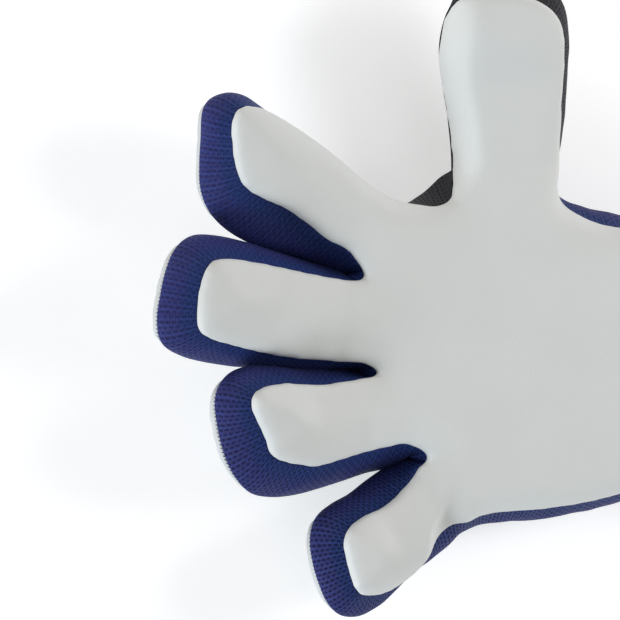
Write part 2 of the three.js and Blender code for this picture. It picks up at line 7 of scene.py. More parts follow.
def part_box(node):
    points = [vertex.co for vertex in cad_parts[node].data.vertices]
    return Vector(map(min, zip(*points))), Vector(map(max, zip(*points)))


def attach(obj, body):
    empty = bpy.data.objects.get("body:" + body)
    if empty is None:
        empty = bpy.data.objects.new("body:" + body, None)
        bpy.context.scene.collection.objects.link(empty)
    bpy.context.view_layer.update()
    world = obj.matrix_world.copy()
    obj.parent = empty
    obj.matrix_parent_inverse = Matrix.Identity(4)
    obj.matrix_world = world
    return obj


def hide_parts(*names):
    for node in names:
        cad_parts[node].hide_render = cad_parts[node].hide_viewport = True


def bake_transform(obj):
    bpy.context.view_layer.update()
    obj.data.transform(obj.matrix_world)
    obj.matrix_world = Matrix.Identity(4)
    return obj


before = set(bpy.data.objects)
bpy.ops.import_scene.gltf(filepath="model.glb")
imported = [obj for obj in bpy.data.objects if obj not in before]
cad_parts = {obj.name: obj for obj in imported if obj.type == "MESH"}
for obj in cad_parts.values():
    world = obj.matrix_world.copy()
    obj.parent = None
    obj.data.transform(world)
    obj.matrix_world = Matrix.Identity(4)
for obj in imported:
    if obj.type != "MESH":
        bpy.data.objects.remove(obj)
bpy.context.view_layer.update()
mm = 0.001

# The camera looks at the palm, tilted towards the fingertips. Lengths are millimetres.
view = {"target": (17, 62, 30), "distance": 900, "tilt": 20, "mmPerPixel": 0.33, "pixels": 620,
        "sensor": 36}


def makeCamera():
    tilt = math.radians(view["tilt"])
    backward = Vector((0, math.sin(tilt), math.cos(tilt)))
    right = Vector((0, -math.cos(tilt), math.sin(tilt)))
    camera = bpy.data.objects.new("camera", bpy.data.cameras.new("camera"))
    bpy.context.scene.collection.objects.link(camera)
    place = Vector(view["target"]) * mm + backward * view["distance"] * mm
    turn = Matrix((right, Vector((1, 0, 0)), backward)).transposed()
    camera.matrix_world = Matrix.Translation(place) @ turn.to_4x4()
    camera.data.sensor_width = view["sensor"]
    camera.data.lens = view["distance"] / view["mmPerPixel"] / view["pixels"] * view["sensor"]
    bpy.context.scene.camera = camera


makeCamera()


# A value or colour in a material's node tree. Sums and products of values add their own Math nodes.
class Signal:
    def __init__(self, tree, socket):
        self.tree = tree
        self.socket = socket

    def node(self, kind, settings=None, inputs=None, output=0):
        return makeNode(self.tree, kind, settings, inputs, output)

    def math(self, operation, *others, clamped=False):
        inputs = dict(enumerate((self, *others)))
        return self.node("ShaderNodeMath", {"operation": operation, "use_clamp": clamped}, inputs)

    def __add__(self, other):
        return self.math("ADD", other)

    def __mul__(self, other):
        return self.math("MULTIPLY", other)

    def __sub__(self, other):
        return self.math("SUBTRACT", other)

    def __rsub__(self, other):
        inputs = {0: other, 1: self}
        return self.node("ShaderNodeMath", {"operation": "SUBTRACT"}, inputs)

    # The value times a factor, held between 0 and 1
    def limited(self, factor=1):
        return self.math("MULTIPLY", factor, clamped=True)

    # How far the value is from the middle of its step of 1
    def fromMiddle(self):
        return (self.math("FRACT") - 0.5).math("ABSOLUTE")


def makeNode(tree, kind, settings=None, inputs=None, output=0):
    node = tree.nodes.new(kind)
    for key, value in (settings or {}).items():
        setattr(node, key, value)
    for key, value in (inputs or {}).items():
        if isinstance(value, Signal):
            tree.links.new(value.socket, node.inputs[key])
        else:
            node.inputs[key].default_value = value
    return Signal(tree, node.outputs[output])


def tinted(factor, first, second):
    inputs = {"Factor": factor}
    for key, colour in (("A", first), ("B", second)):
        inputs[key] = colour if isinstance(colour, Signal) else (*colour, 1)
    mixer = factor.tree.nodes.new("ShaderNodeMix")
    mixer.data_type = "RGBA"
    for socket in mixer.inputs:
        if socket.enabled and socket.name in inputs:
            value = inputs[socket.name]
            if isinstance(value, Signal):
                factor.tree.links.new(value.socket, socket)
            else:
                socket.default_value = value
    return Signal(factor.tree, next(socket for socket in mixer.outputs if socket.enabled))


# A digit's line starts at base and heads off at its azimuth from +Y towards +X. It curls up towards the
# palm over its reach. A rim has stations from the thumb's side round the tip to the other side, each with
# s along and u across for the palm's edge, the drop of that edge, and s and u for the back's edge.
digits = {
    "thumb": {
        "base": (34, -16), "azimuth": 86, "curl": 24, "roll": -8, "reach": 96, "depth": (28, 22),
        "knuckle": 33, "middle": 63, "zones": ((24, 42), (53, 73)),
        "rim": [
            (20, 18, 4, 20, 20.5), (32, 17.6, 3, 32, 20.5), (44, 17.6, 2, 44, 20.8), (56, 17.8, 1, 56, 21),
            (68, 17.8, 0, 68, 21), (82, 16.5, 0, 82.5, 19.6), (90, 11, 0, 92.5, 14), (94.2, 1, 0, 97, 2),
            (94.6, -9, 1, 97.4, -8), (92.4, -17, 4, 94.4, -15.5), (87.5, -21.6, 7, 88.5, -17),
            (79, -23.8, 9, 80, -17.8), (70, -24, 10, 70, -17.8), (60, -22.2, 10, 60, -16),
            (50, -20.2, 10, 50, -14.4), (41, -19.6, 9, 41, -13.8), (33, -20, 8, 32.5, -13.4),
        ],
    },
    "index": {
        "base": (39.3, 30.8), "azimuth": 26, "curl": 28, "roll": 7, "reach": 73, "depth": (28, 21),
        "knuckle": 16, "middle": 42, "zones": ((8, 25), (32, 52)),
        "rim": [
            (6, 14.6, 5, 5, 13.8), (18, 16, 7, 18, 15.2), (30, 18.2, 7, 30, 18), (42, 19.6, 7, 42, 19.6),
            (54, 19.4, 6, 54, 20.6), (63, 18, 3, 64, 20.2), (71, 16, 0, 73, 17.8), (76.8, 12.8, 0, 79, 13),
            (78, 7.4, 0, 80.3, 8.5), (74.6, 1.2, 0, 77, 1), (70, -4.6, 0, 73.6, -7),
            (65.2, -8.2, 0, 69.5, -13.8), (60.2, -9.6, 0, 62.5, -18.4), (53, -9.4, 0, 53, -20.2),
            (43, -8.4, 0, 42, -19.6), (33, -9, 0, 32, -17.8), (23, -9.6, 0, 22, -16.2),
            (14, -9, 0, 13, -14.8),
        ],
    },
    "middle": {
        "base": (13.2, 35.5), "azimuth": 7.5, "curl": 34, "roll": 0, "reach": 79, "depth": (28, 21),
        "knuckle": 16, "middle": 44, "zones": ((9.5, 24), (33, 55)),
        "rim": [
            (16, 12.2, 0, 15, 14.4), (26, 12.4, 0, 26, 16), (37, 12.8, 0, 37, 17.6), (48, 13.2, 0, 48, 19),
            (59, 13.2, 0, 60, 19.4), (68, 12.6, 0, 71, 17.8), (73.6, 10, 0, 77.5, 13),
            (76.2, 4.5, 0, 80.5, 6), (76.8, -2, 0, 81.7, -2), (76.4, -8, 0, 81.9, -9.6),
            (73.4, -12.2, 0, 79, -16), (67.5, -14, 0, 70, -18.8), (59, -14.8, 0, 60, -19.8),
            (48, -15.6, 0, 48, -19.8), (36, -16.2, 0, 36, -18.8), (24, -15.8, 0, 24, -17.8),
            (12, -15.2, 0, 12, -16.6), (5, -14.8, 0, 4, -15.8),
        ],
    },
    "ring": {
        "base": (-17.9, 18.5), "azimuth": -5, "curl": 35, "roll": 1, "reach": 75.5, "depth": (28, 21),
        "knuckle": 25, "middle": 48, "zones": ((18.5, 32), (38, 58)),
        "rim": [
            (22, 14.2, 0, 22, 15.6), (31, 13.8, 0, 31, 16.6), (41, 13.5, 0, 41, 17.6),
            (50, 14.6, 0, 51, 19.4), (59, 15.6, 0, 61, 20.6), (67, 15.4, 0, 70, 19.8),
            (73, 13.8, 0, 76, 16.8), (75.4, 10.4, 0, 79.2, 12), (73.8, 6, 0, 79.4, 6),
            (71.2, 1.6, 0, 78.5, -1), (69.2, -2.6, 0, 76.4, -7.5), (68.4, -6.2, 0, 72, -13.6),
            (64, -9.2, 0, 66, -18.6), (56.5, -11.4, 0, 57, -21), (47, -13.2, 0, 47, -21.6),
            (37, -12.2, 0, 37, -21), (27, -10.8, 0, 27, -19.8), (17, -9.9, 0, 17, -18),
            (9, -9.5, 0, 9, -16.8),
        ],
    },
    "pinky": {
        "base": (-44, -0.8), "azimuth": -27.5, "curl": 30, "roll": -5, "reach": 66, "depth": (28, 19),
        "knuckle": 20, "middle": 41, "zones": ((13, 28), (32, 50)),
        "rim": [
            (15.5, 17.4, 0, 15, 17), (22, 14.9, 0, 23, 18.2), (30, 13.4, 0, 31, 18.4),
            (38, 13.2, 0, 40, 18.2), (46, 14.4, 0, 49, 19.2), (54, 14, 0, 57, 18.8),
            (58.4, 11.4, 0, 62.8, 14.4), (60.6, 6.5, 0, 65.7, 7.5), (61.6, 1, 0, 66.7, 1),
            (62.2, -4, 0, 66.5, -6), (59.6, -8.4, 1, 63.5, -11.8), (54, -11.6, 3, 56, -16.4),
            (47, -14.2, 5, 47, -17.4), (39, -15.4, 7, 38, -16.4), (31, -14.6, 8, 30, -14),
            (25.5, -12.6, 7, 24.5, -14.6), (21, -8.4, 4, 18, -15), (15.5, -6.2, 2, 12.5, -14.6),
        ],
    },
}
# Stations of the hand's rim in the same form, but with x and y: up the thumb's side, in the webs between
# the digits, and down the other side to the wrist.
handRim = {
    "radial": [(44, -66, 0, 48, -66), (45.6, -57, 1, 49.6, -57), (47.6, -46, 3, 51.4, -47)],
    "thumbWeb": [(58.2, 8, 3, 63, 3), (54.4, 9.6, 1, 61, 6.6), (52.6, 13, 1, 58, 9.6),
                 (52.4, 17, 2, 55, 13.6), (53, 22, 4, 52, 19.6)],
    "indexMiddle": [(29.6, 41.2, 0, 29.6, 42.2), (27.3, 41.4, 0, 27.4, 42.4)],
    "middleRing": [(-3, 37.2, 0, -3.2, 37.8), (-4.8, 37.1, 0, -4.4, 37.8)],
    "ringPinky": [(-31.2, 18.8, 0, -31.4, 19.4), (-33.6, 17.6, 0, -33.8, 18.4)],
    "ulnar": [(-55.6, 3.8, 1, -57.6, -0.8), (-52.9, -3, 2, -55.6, -8.4), (-52, -14, 3, -54.8, -16),
              (-51, -30, 2, -54.4, -30), (-48.6, -46, 1, -52, -46), (-46, -57, 0, -50, -57),
              (-44, -66, 0, -48, -66)],
}
hand = {"centre": 15, "rollRun": 20, "rimStep": 1.4, "hinge": 4}

for digit in digits.values():
    turn = math.radians(digit["azimuth"])
    digit["forward"] = (math.sin(turn), math.cos(turn))
    digit["bend"] = math.radians(digit["curl"]) / digit["reach"]


def mix(a, b, share):
    return a + (b - a) * share


def ease(x, low, high):
    t = min(max((x - low) / (high - low), 0), 1)
    return t * t * (3 - 2 * t)


def bell(x, reach):
    return math.exp(-(x / reach) ** 2)


# s along and u across a digit, for a place of the flat pattern
def alongDigit(digit, x, y):
    fx, fy = digit["forward"]
    dx, dy = x - digit["base"][0], y - digit["base"][1]
    return dx * fx + dy * fy, dx * fy - dy * fx


def flatPlace(digit, s, u):
    fx, fy = digit["forward"]
    return digit["base"][0] + fx * s + fy * u, digit["base"][1] + fy * s - fx * u


def nearestDigit(x, y):
    return min(digits, key=lambda name: abs(alongDigit(digits[name], x, y)[1]))


# The place of s, u and a height v over the centre line, once the digit is curled, in millimetres.
def curled(digit, s, u, v):
    fx, fy = digit["forward"]
    bend = digit["bend"]
    slope = bend * max(s, 0)
    ahead = min(s, 0) + math.sin(slope) / bend
    roll = math.radians(digit["roll"]) * ease(s, digit["knuckle"], digit["knuckle"] + hand["rollRun"])
    over = v * math.cos(roll) - u * math.sin(roll)
    out = u * math.cos(roll) + v * math.sin(roll)
    ahead -= over * math.sin(slope)
    return (digit["base"][0] + fx * ahead + fy * out, digit["base"][1] + fy * ahead - fx * out,
            hand["centre"] + (1 - math.cos(slope)) / bend + over * math.cos(slope))


def halfDepth(digit, s):
    return mix(digit["depth"][0], digit["depth"][1], min(max(s / digit["reach"], 0), 1)) / 2


# A place of the flat pattern, at a share of the half depth plus an offset, on the formed hand in metres.
# Near the webs it is a blend of what the digits on both sides say, softer at their roots than further out.
webBlend = {"soft": 8, "sharp": 0.35, "from": 5, "to": 18, "least": 0.01}


def formed(x, y, share, offset):
    near = [(abs(alongDigit(digit, x, y)[1]), digit) for digit in digits.values()]
    least, nearest = min(near, key=lambda pair: pair[0])
    further = ease(alongDigit(nearest, x, y)[0], webBlend["from"], webBlend["to"])
    sharp = mix(webBlend["soft"], webBlend["sharp"], further)
    total, place = 0, [0, 0, 0]
    for distance, digit in near:
        weight = math.exp((least - distance) / sharp)
        if weight < webBlend["least"]:
            continue
        s, u = alongDigit(digit, x, y)
        point = curled(digit, s, u, share * halfDepth(digit, s) + offset)
        total += weight
        place = [sum + weight * value for sum, value in zip(place, point)]
    return Vector(place) * (mm / total)


# Points of a smooth curve through the stations, which are lists of numbers, with an even step
def through(stations, step):
    rows = [stations[0], *stations, stations[-1]]
    fine = []
    for before, start, end, after in zip(rows, rows[1:], rows[2:], rows[3:]):
        for k in range(12):
            t = k / 12
            fine.append([0.5 * (2 * b + (c - a) * t + (2 * a - 5 * b + 4 * c - d) * t * t
                                + (3 * b - a - 3 * c + d) * t ** 3)
                         for a, b, c, d in zip(before, start, end, after)])
    fine.append(list(stations[-1]))
    lengths = [0]
    for a, b in zip(fine, fine[1:]):
        inner = math.hypot(b[0] - a[0], b[1] - a[1])
        outer = math.hypot(b[3] - a[3], b[4] - a[4])
        lengths.append(lengths[-1] + (inner + outer) / 2)
    count = round(lengths[-1] / step)
    points, k = [], 0
    for i in range(count + 1):
        goal = lengths[-1] * i / count
        while k < len(fine) - 2 and lengths[k + 1] < goal:
            k += 1
        share = (goal - lengths[k]) / (lengths[k + 1] - lengths[k])
        points.append([mix(a, b, share) for a, b in zip(fine[k], fine[k + 1])])
    return points, lengths[-1] / count


# The hand's whole rim, from the wrist round all the digits and back to the wrist. A station's last number is
# that of its digit, and goes on to the next one in the web between them.
def rimStations():
    stations = [(*station, 0) for station in handRim["radial"]]
    webs = ("thumbWeb", "indexMiddle", "middleRing", "ringPinky", "ulnar")
    for k, (name, web) in enumerate(zip(digits, webs)):
        digit = digits[name]
        for s, u, drop, sBack, uBack in digit["rim"]:
            stations.append((*flatPlace(digit, s, u), drop, *flatPlace(digit, sBack, uBack), k))
        between = handRim[web]
        for j, station in enumerate(between):
            stations.append((*station, min(k + (j + 0.5) / len(between), 4)))
    return stations


rim, rimStep = through(rimStations(), hand["rimStep"])
rimOwners = [list(digits)[round(min(max(point.pop(), 0), 4))] for point in rim]
print("rim", len(rim), "points,", round(rimStep * (len(rim) - 1)), "mm")


# How far a digit's palm or back edge is from its line, at points along one of its sides
def edgeOf(name, side, first):
    digit = digits[name]
    owned = [point for point, owner in zip(rim, rimOwners) if owner == name]
    reached = [alongDigit(digit, point[first], point[first + 1]) for point in owned]
    return sorted((s, u * side) for s, u in reached if 0 < u * side and s > -2)


def widthAt(edge, s):
    for (s0, u0), (s1, u1) in zip(edge, edge[1:]):
        if s0 <= s <= s1:
            return mix(u0, u1, (s - s0) / max(s1 - s0, 0.01))
    return 0


# The gaps between neighbouring digits' edges, and the room where no digit is near
gaps = {"plate": 2.9, "cloth": 1, "open": 30}


# The room between a point of a digit's rim and the edge of the digit beside it
def roomAt(k, first):
    name, order = rimOwners[k], list(digits)
    own = alongDigit(digits[name], *rim[k][first:first + 2])[1]
    other = order.index(name) + (1 if own < 0 else -1)
    if not 0 <= other < len(order) or "thumb" in (name, order[other]):
        return gaps["open"]
    side = 1 if own < 0 else -1
    s, u = alongDigit(digits[order[other]], *rim[k][first:first + 2])
    width = widthAt(edges[order[other], side, first], s)
    return u * side - width if width else gaps["open"]


edges = {(name, side, first): edgeOf(name, side, first)
         for name in digits for side in (1, -1) for first in (0, 3)}
rooms = [roomAt(k, 0) for k in range(len(rim))]
backRooms = [roomAt(k, 3) for k in range(len(rim))]


# A point of the back's edge, moved in so that there is a gap between neighbouring digits
def spaced(k, gap):
    digit = digits[rimOwners[k]]
    s, u = alongDigit(digit, *rim[k][3:])
    return flatPlace(digit, s, math.copysign(abs(u) - max(gap - backRooms[k], 0) / 2, u))


plateEdge = [spaced(k, gaps["plate"]) for k in range(len(rim))]
for k in range(len(rim)):
    rim[k][3:] = spaced(k, gaps["cloth"])


# Headings out of the pattern at the points of one of the rim's two edges
def outwardHeadings(first):
    headings = []
    for k in range(len(rim)):
        a, b = rim[max(k - 1, 0)], rim[min(k + 1, len(rim) - 1)]
        ahead = Vector((b[first] - a[first], b[first + 1] - a[first + 1]))
        headings.append(Vector((ahead.y, -ahead.x)).normalized())
    return headings


palmOutward, backOutward = outwardHeadings(0), outwardHeadings(3)


# Materials
def newMaterial(name, **constants):
    material = bpy.data.materials.new(name)
    material.use_nodes = True
    shader = material.node_tree.nodes["Principled BSDF"]
    for key, value in constants.items():
        shader.inputs[key.replace("_", " ")].default_value = value
    return material, material.node_tree, shader


def feed(signal, shader, socket):
    signal.tree.links.new(signal.socket, shader.inputs[socket])


def feedBump(shader, height, distance, strength=1):
    inputs = {"Strength": strength, "Distance": distance, "Height": height}
    feed(height.node("ShaderNodeBump", None, inputs), shader, "Normal")


def objectPlace(tree):
    return makeNode(tree, "ShaderNodeTexCoord", output=3)


def objectNoise(tree, scale, detail=2):
    inputs = {"Vector": objectPlace(tree), "Scale": scale, "Detail": detail}
    return makeNode(tree, "ShaderNodeTexNoise", None, inputs)


def objectCells(tree, scale):
    return makeNode(tree, "ShaderNodeTexVoronoi", None, {"Vector": objectPlace(tree), "Scale": scale})


# u and v of the cloth's own map, in metres
def clothPlace(tree):
    place = makeNode(tree, "ShaderNodeUVMap", {"uv_map": "cloth"})
    u = makeNode(tree, "ShaderNodeSeparateXYZ", None, {"Vector": place}, 0)
    return u, makeNode(tree, "ShaderNodeSeparateXYZ", None, {"Vector": place}, 1)


def foamMaterial(name, light, dark, roughness, poreScale, poreDepth):
    material, tree, shader = newMaterial(name, Specular_IOR_Level=0.35, Sheen_Weight=0.06)
    cloud = objectNoise(tree, 45, 3)
    pores = objectNoise(tree, poreScale, 4)
    feed(tinted(cloud, light, dark), shader, "Base Color")
    feed(cloud * 0.14 + pores * 0.1 + (roughness - 0.12), shader, "Roughness")
    feedBump(shader, pores + objectNoise(tree, poreScale / 4, 2) * 0.8, poreDepth)
    return material


# Open knit with staggered oval holes, at steps in metres of the cloth's map. The yarn is darker and bluer
# beside the palm, which is painted shade by the latex, and more purple further out, which is painted warm
# light. The strands carry a painted highlight. The holes are painted shade, and show most on the little
# finger's side of a given x.
weave = {"along": 0.0014, "across": 0.0029, "ovalAlong": 13, "ovalAcross": 5.6, "clear": 2.2,
         "holeShadeAt": 0.01, "holeShadeRun": 14, "holeLeast": 0.25, "holeMore": 0.45, "purpleFrom": 4.5,
         "depth": 0.00022}


def meshMaterial(name, yarn, warmLitYarn, strandHighlight, hole, sheen):
    material, tree, shader = newMaterial(name, Specular_IOR_Level=0.18, Sheen_Weight=sheen,
                                         Sheen_Roughness=0.4)
    shader.inputs["Sheen Tint"].default_value = (0.55, 0.62, 1, 1)
    u, v = clothPlace(tree)
    along, across = u * (1 / weave["along"]), v * (1 / weave["across"])
    row = along.math("FLOOR")
    shifted = across + row.math("FLOORED_MODULO", 2) * 0.5
    x = along.math("FRACT") - 0.5
    y = shifted.math("FRACT") - 0.5
    away = x * x * weave["ovalAlong"] + y * y * weave["ovalAcross"]
    open = (1 - away).limited(weave["clear"])
    wale = (along * 4 + across * 0.5).math("SINE") * 0.5 + 0.5
    strand = ((v * 9000).math("SINE") * 0.5 + 0.5) * 0.5 + objectNoise(tree, 1800, 2) * 0.9
    outward = (v * 1000 - weave["purpleFrom"]).limited(0.2)
    cloud = objectNoise(tree, 55, 2)
    # Painted shade darkens the yarn beside the latex; painted warm light makes it more purple further out
    body = tinted((outward * 0.75 + cloud * 0.4).limited(0.9), yarn, warmLitYarn)
    # Painted highlight on the strands of the yarn
    lit = tinted((strand * 0.75 + wale * 0.2 - 0.38).limited(), body, strandHighlight)
    sideways = makeNode(tree, "ShaderNodeSeparateXYZ", None, {"Vector": objectPlace(tree)})
    # Painted shade in the holes, deeper towards the little finger's side
    holeShadeShare = (weave["holeShadeAt"] - sideways + cloud * 0.03).limited(weave["holeShadeRun"])
    feed(tinted(open * (holeShadeShare * weave["holeMore"] + weave["holeLeast"]), lit, hole), shader, "Base Color")
    feed(open * 0.25 + 0.55, shader, "Roughness")
    feedBump(shader, strand * 0.5 + wale * 0.3 - open * 1.6, weave["depth"])
    return material


# Ribbed or plain knit of the cuff, with loops of yarn along v
def knitMaterial(name, yarn, dark, loop, sheen):
    material, tree, shader = newMaterial(name, Specular_IOR_Level=0.25, Sheen_Weight=sheen)
    shader.inputs["Sheen Tint"].default_value = (0.6, 0.66, 1, 1)
    u, v = clothPlace(tree)
    across, along = u * (1 / loop), v * (1 / loop)
    side = across.fromMiddle()
    stitch = (along + side).fromMiddle() * 2
    groove = (side * 2).math("POWER", 4)
    fuzz = objectNoise(tree, 1500, 3)
    # The grooves between the ribs and the loops' edges are darker, which is painted shade; the fuzz varies
    # the tone at random
    depth = (groove * 0.7 + stitch * 0.45 + fuzz * 0.35 - 0.15).limited()
    feed(tinted(depth, yarn, dark), shader, "Base Color")
    feed(fuzz * 0.2 + 0.62, shader, "Roughness")
    feedBump(shader, 1 - depth, 0.0002)
    return material


# Tape and webbing: crossed yarns that pass over and under each other
def wovenMaterial(name, yarn, dark, pitch, roughness):
    material, tree, shader = newMaterial(name, Specular_IOR_Level=0.35, Sheen_Weight=0.15)
    u, v = clothPlace(tree)
    across, along = u * (1 / pitch), v * (1 / pitch)
    over = (across.math("FLOOR") + along.math("FLOOR")).math("FLOORED_MODULO", 2)
    height = (1 - across.fromMiddle() * 2) * over + (1 - along.fromMiddle() * 2) * (1 - over)
    fuzz = objectNoise(tree, 2200, 2)
    # Each yarn is darker towards its edges, where it dips under the other, which is painted shade; the fuzz
    # varies the tone at random
    feed(tinted((height * 0.9 + fuzz * 0.3 - 0.1).limited(), dark, yarn), shader, "Base Color")
    feed(fuzz * 0.15 + roughness, shader, "Roughness")
    feedBump(shader, height + fuzz * 0.4, 0.0002)
    return material


def coatedMaterial(name, light, dark, roughness, grain):
    material, tree, shader = newMaterial(name, Specular_IOR_Level=0.45)
    cells = objectCells(tree, grain)
    cloud = objectNoise(tree, 70, 3)
    feed(tinted(cloud, light, dark), shader, "Base Color")
    feed(cloud * 0.15 + cells * 0.1 + (roughness - 0.1), shader, "Roughness")
    feedBump(shader, cells + objectNoise(tree, grain * 3, 2) * 0.3, 0.00012)
    return material


# Loop or hook tape: a close pile of fine threads
def pileMaterial(name, light, dark, scale):
    material, tree, shader = newMaterial(name, Specular_IOR_Level=0.3, Sheen_Weight=0.3)
    cells = objectCells(tree, scale)
    curls = objectNoise(tree, scale * 1.6, 4)
    feed(tinted((curls * 1.4 - 0.2).limited(), dark, light), shader, "Base Color")
    feed(curls * 0.2 + 0.65, shader, "Roughness")
    feedBump(shader, curls + cells * 0.5, 0.0004)
    return material


materials = {
    "latex": foamMaterial("latexFoam", (0.74, 0.75, 0.725), (0.69, 0.705, 0.68), 0.6, 1700, 0.00006),
    "back": foamMaterial("backFoam", (0.64, 0.65, 0.645), (0.56, 0.575, 0.57), 0.62, 1300, 0.0001),
    # The navy mesh's second colour is painted warm light. In both meshes the third colour is a painted
    # highlight, and the fourth is painted shade in the holes.
    "navy": meshMaterial("navyMesh", (0.0015, 0.02, 0.092), (0.027, 0.02, 0.108), (0.05, 0.088, 0.36),
                         (0.001, 0.003, 0.022), 0.04),
    "black": meshMaterial("blackMesh", (0.012, 0.012, 0.013), (0.012, 0.012, 0.013), (0.045, 0.045, 0.047),
                          (0.002, 0.002, 0.002), 0.08),
    "lining": pileMaterial("towelLining", (0.8, 0.8, 0.78), (0.55, 0.55, 0.53), 900),
    "cuff": knitMaterial("cuffKnit", (0.024, 0.036, 0.19), (0.006, 0.01, 0.055), 0.0011, 0.25),
    "binding": wovenMaterial("bindingTape", (0.03, 0.03, 0.033), (0.006, 0.006, 0.007), 0.0006, 0.6),
    "strap": coatedMaterial("coatedStrap", (0.02, 0.03, 0.15), (0.014, 0.02, 0.11), 0.5, 1100),
    "loopTape": pileMaterial("loopTape", (0.04, 0.04, 0.043), (0.008, 0.008, 0.009), 1500),
    "hookTape": pileMaterial("hookTape", (0.03, 0.03, 0.033), (0.008, 0.008, 0.009), 2500),
    "tab": coatedMaterial("mouldedTab", (0.64, 0.65, 0.645), (0.56, 0.57, 0.565), 0.5, 1500),
    "webbing": wovenMaterial("loopWebbing", (0.024, 0.027, 0.05), (0.004, 0.005, 0.01), 0.0009, 0.55),
    "darkThread": coatedMaterial("darkThread", (0.012, 0.014, 0.05), (0.006, 0.007, 0.028), 0.55, 4000),
    "paleThread": coatedMaterial("paleThread", (0.6, 0.61, 0.6), (0.5, 0.51, 0.5), 0.6, 4000),
}
print("materials", len(materials))


# Making and finishing pieces
def fromBmesh(name, bm):
    mesh = bpy.data.meshes.new(name)
    bm.to_mesh(mesh)
    bm.free()
    piece = bpy.data.objects.new(name, mesh)
    bpy.context.scene.collection.objects.link(piece)
    return piece


def withModifier(piece, kind, **settings):
    modifier = piece.modifiers.new(kind.lower(), kind)
    for key, value in settings.items():
        setattr(modifier, key, value)
    return piece


# The piece with its modifiers worked into its mesh
def applied(piece):
    seen = piece.evaluated_get(bpy.context.evaluated_depsgraph_get())
    mesh = bpy.data.meshes.new_from_object(seen)
    old = piece.data
    piece.modifiers.clear()
    piece.data = mesh
    bpy.data.meshes.remove(old)
    return piece


def shadeSmooth(piece, degrees=40):
    piece.data.shade_smooth()
    piece.data.set_sharp_from_angle(angle=math.radians(degrees))
    return piece


def dress(piece, body, slot, material, *replaced):
    piece.data.materials.clear()
    piece.data.materials.append(materials[material])
    if body:
        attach(piece, body)
    if replaced:
        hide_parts(*replaced)
    return piece


# A grid whose corners are placed by shares a and b of its two sides. size is its flat size, for the cloth's
# map.
def gridPiece(name, columns, rows, size, place):
    bm = bmesh.new()
    cloth = bm.loops.layers.uv.new("cloth")
    bmesh.ops.create_grid(bm, x_segments=columns, y_segments=rows, size=0.5)
    for face in bm.faces:
        for loop in face.loops:
            x, y, _ = loop.vert.co
            loop[cloth].uv = ((x + 0.5) * size[0] * mm, (y + 0.5) * size[1] * mm)
    for vert in bm.verts:
        vert.co = Vector(place(vert.co.x + 0.5, vert.co.y + 0.5)) * mm
    bmesh.ops.remove_doubles(bm, verts=bm.verts[:], dist=0.001 * mm)
    return fromBmesh(name, bm)


# Gives a sheet its thickness, and a small bevel on its cut edges where one is given
def thickened(piece, thick, bevel=0, smooth=50):
    withModifier(piece, "SOLIDIFY", thickness=thick * mm, offset=-1)
    if bevel:
        square = math.radians(60)
        withModifier(piece, "BEVEL", width=bevel * mm, segments=2, limit_method="ANGLE", angle_limit=square)
    return shadeSmooth(applied(piece), smooth)


# A flat plate of foam of the outline, in even small faces
def flatPlate(name, outline, thick, voxel):
    bm = bmesh.new()
    bmesh.ops.create_circle(bm, cap_ends=True, radius=1, segments=len(outline))
    for vert, (x, y) in zip(bm.verts, outline):
        vert.co = (x * mm, y * mm, 0)
    raised = bmesh.ops.extrude_face_region(bm, geom=bm.faces[:])
    moved = [part for part in raised["geom"] if isinstance(part, bmesh.types.BMVert)]
    bmesh.ops.translate(bm, verts=moved, vec=(0, 0, thick * mm))
    bmesh.ops.recalc_face_normals(bm, faces=bm.faces[:])
    plate = fromBmesh(name, bm)
    withModifier(plate, "REMESH", mode="VOXEL", voxel_size=voxel * mm, use_smooth_shade=True)
    return applied(plate)


def treeOf(points):
    tree = kdtree.KDTree(len(points))
    for k, point in enumerate(points):
        tree.insert((point[0] * mm, point[1] * mm, 0), k)
    tree.balance()
    return tree


# Closes a rim with the straight edge at the wrist
def closedOutline(points):
    first, last = points[0], points[-1]
    count = round(math.dist(first[:2], last[:2]) / hand["rimStep"])
    edge = [[mix(a, b, k / count) for a, b in zip(last, first)] for k in range(1, count)]
    return points + edge


palmRim = closedOutline([[x, y, drop] for x, y, drop, _, _ in rim])
backInset = 0.55
backRim = closedOutline([[*(Vector(place) - outward * backInset), 0]
                         for place, outward in zip(plateEdge, backOutward)])
palmTree, backTree = treeOf(palmRim), treeOf(backRim)


def ownerIn(tree, place):
    k = tree.find((place[0], place[1], 0))[1]
    return rimOwners[k] if k < len(rimOwners) else "index"


# 1 over the end of a digit, and 0 from its middle on. Both are distances from its end.
tipZone = {"from": 36, "to": 16}


def tipShare(x, y):
    digit = digits[nearestDigit(x, y)]
    s = alongDigit(digit, x, y)[0]
    return ease(s, digit["reach"] - tipZone["from"], digit["reach"] - tipZone["to"])


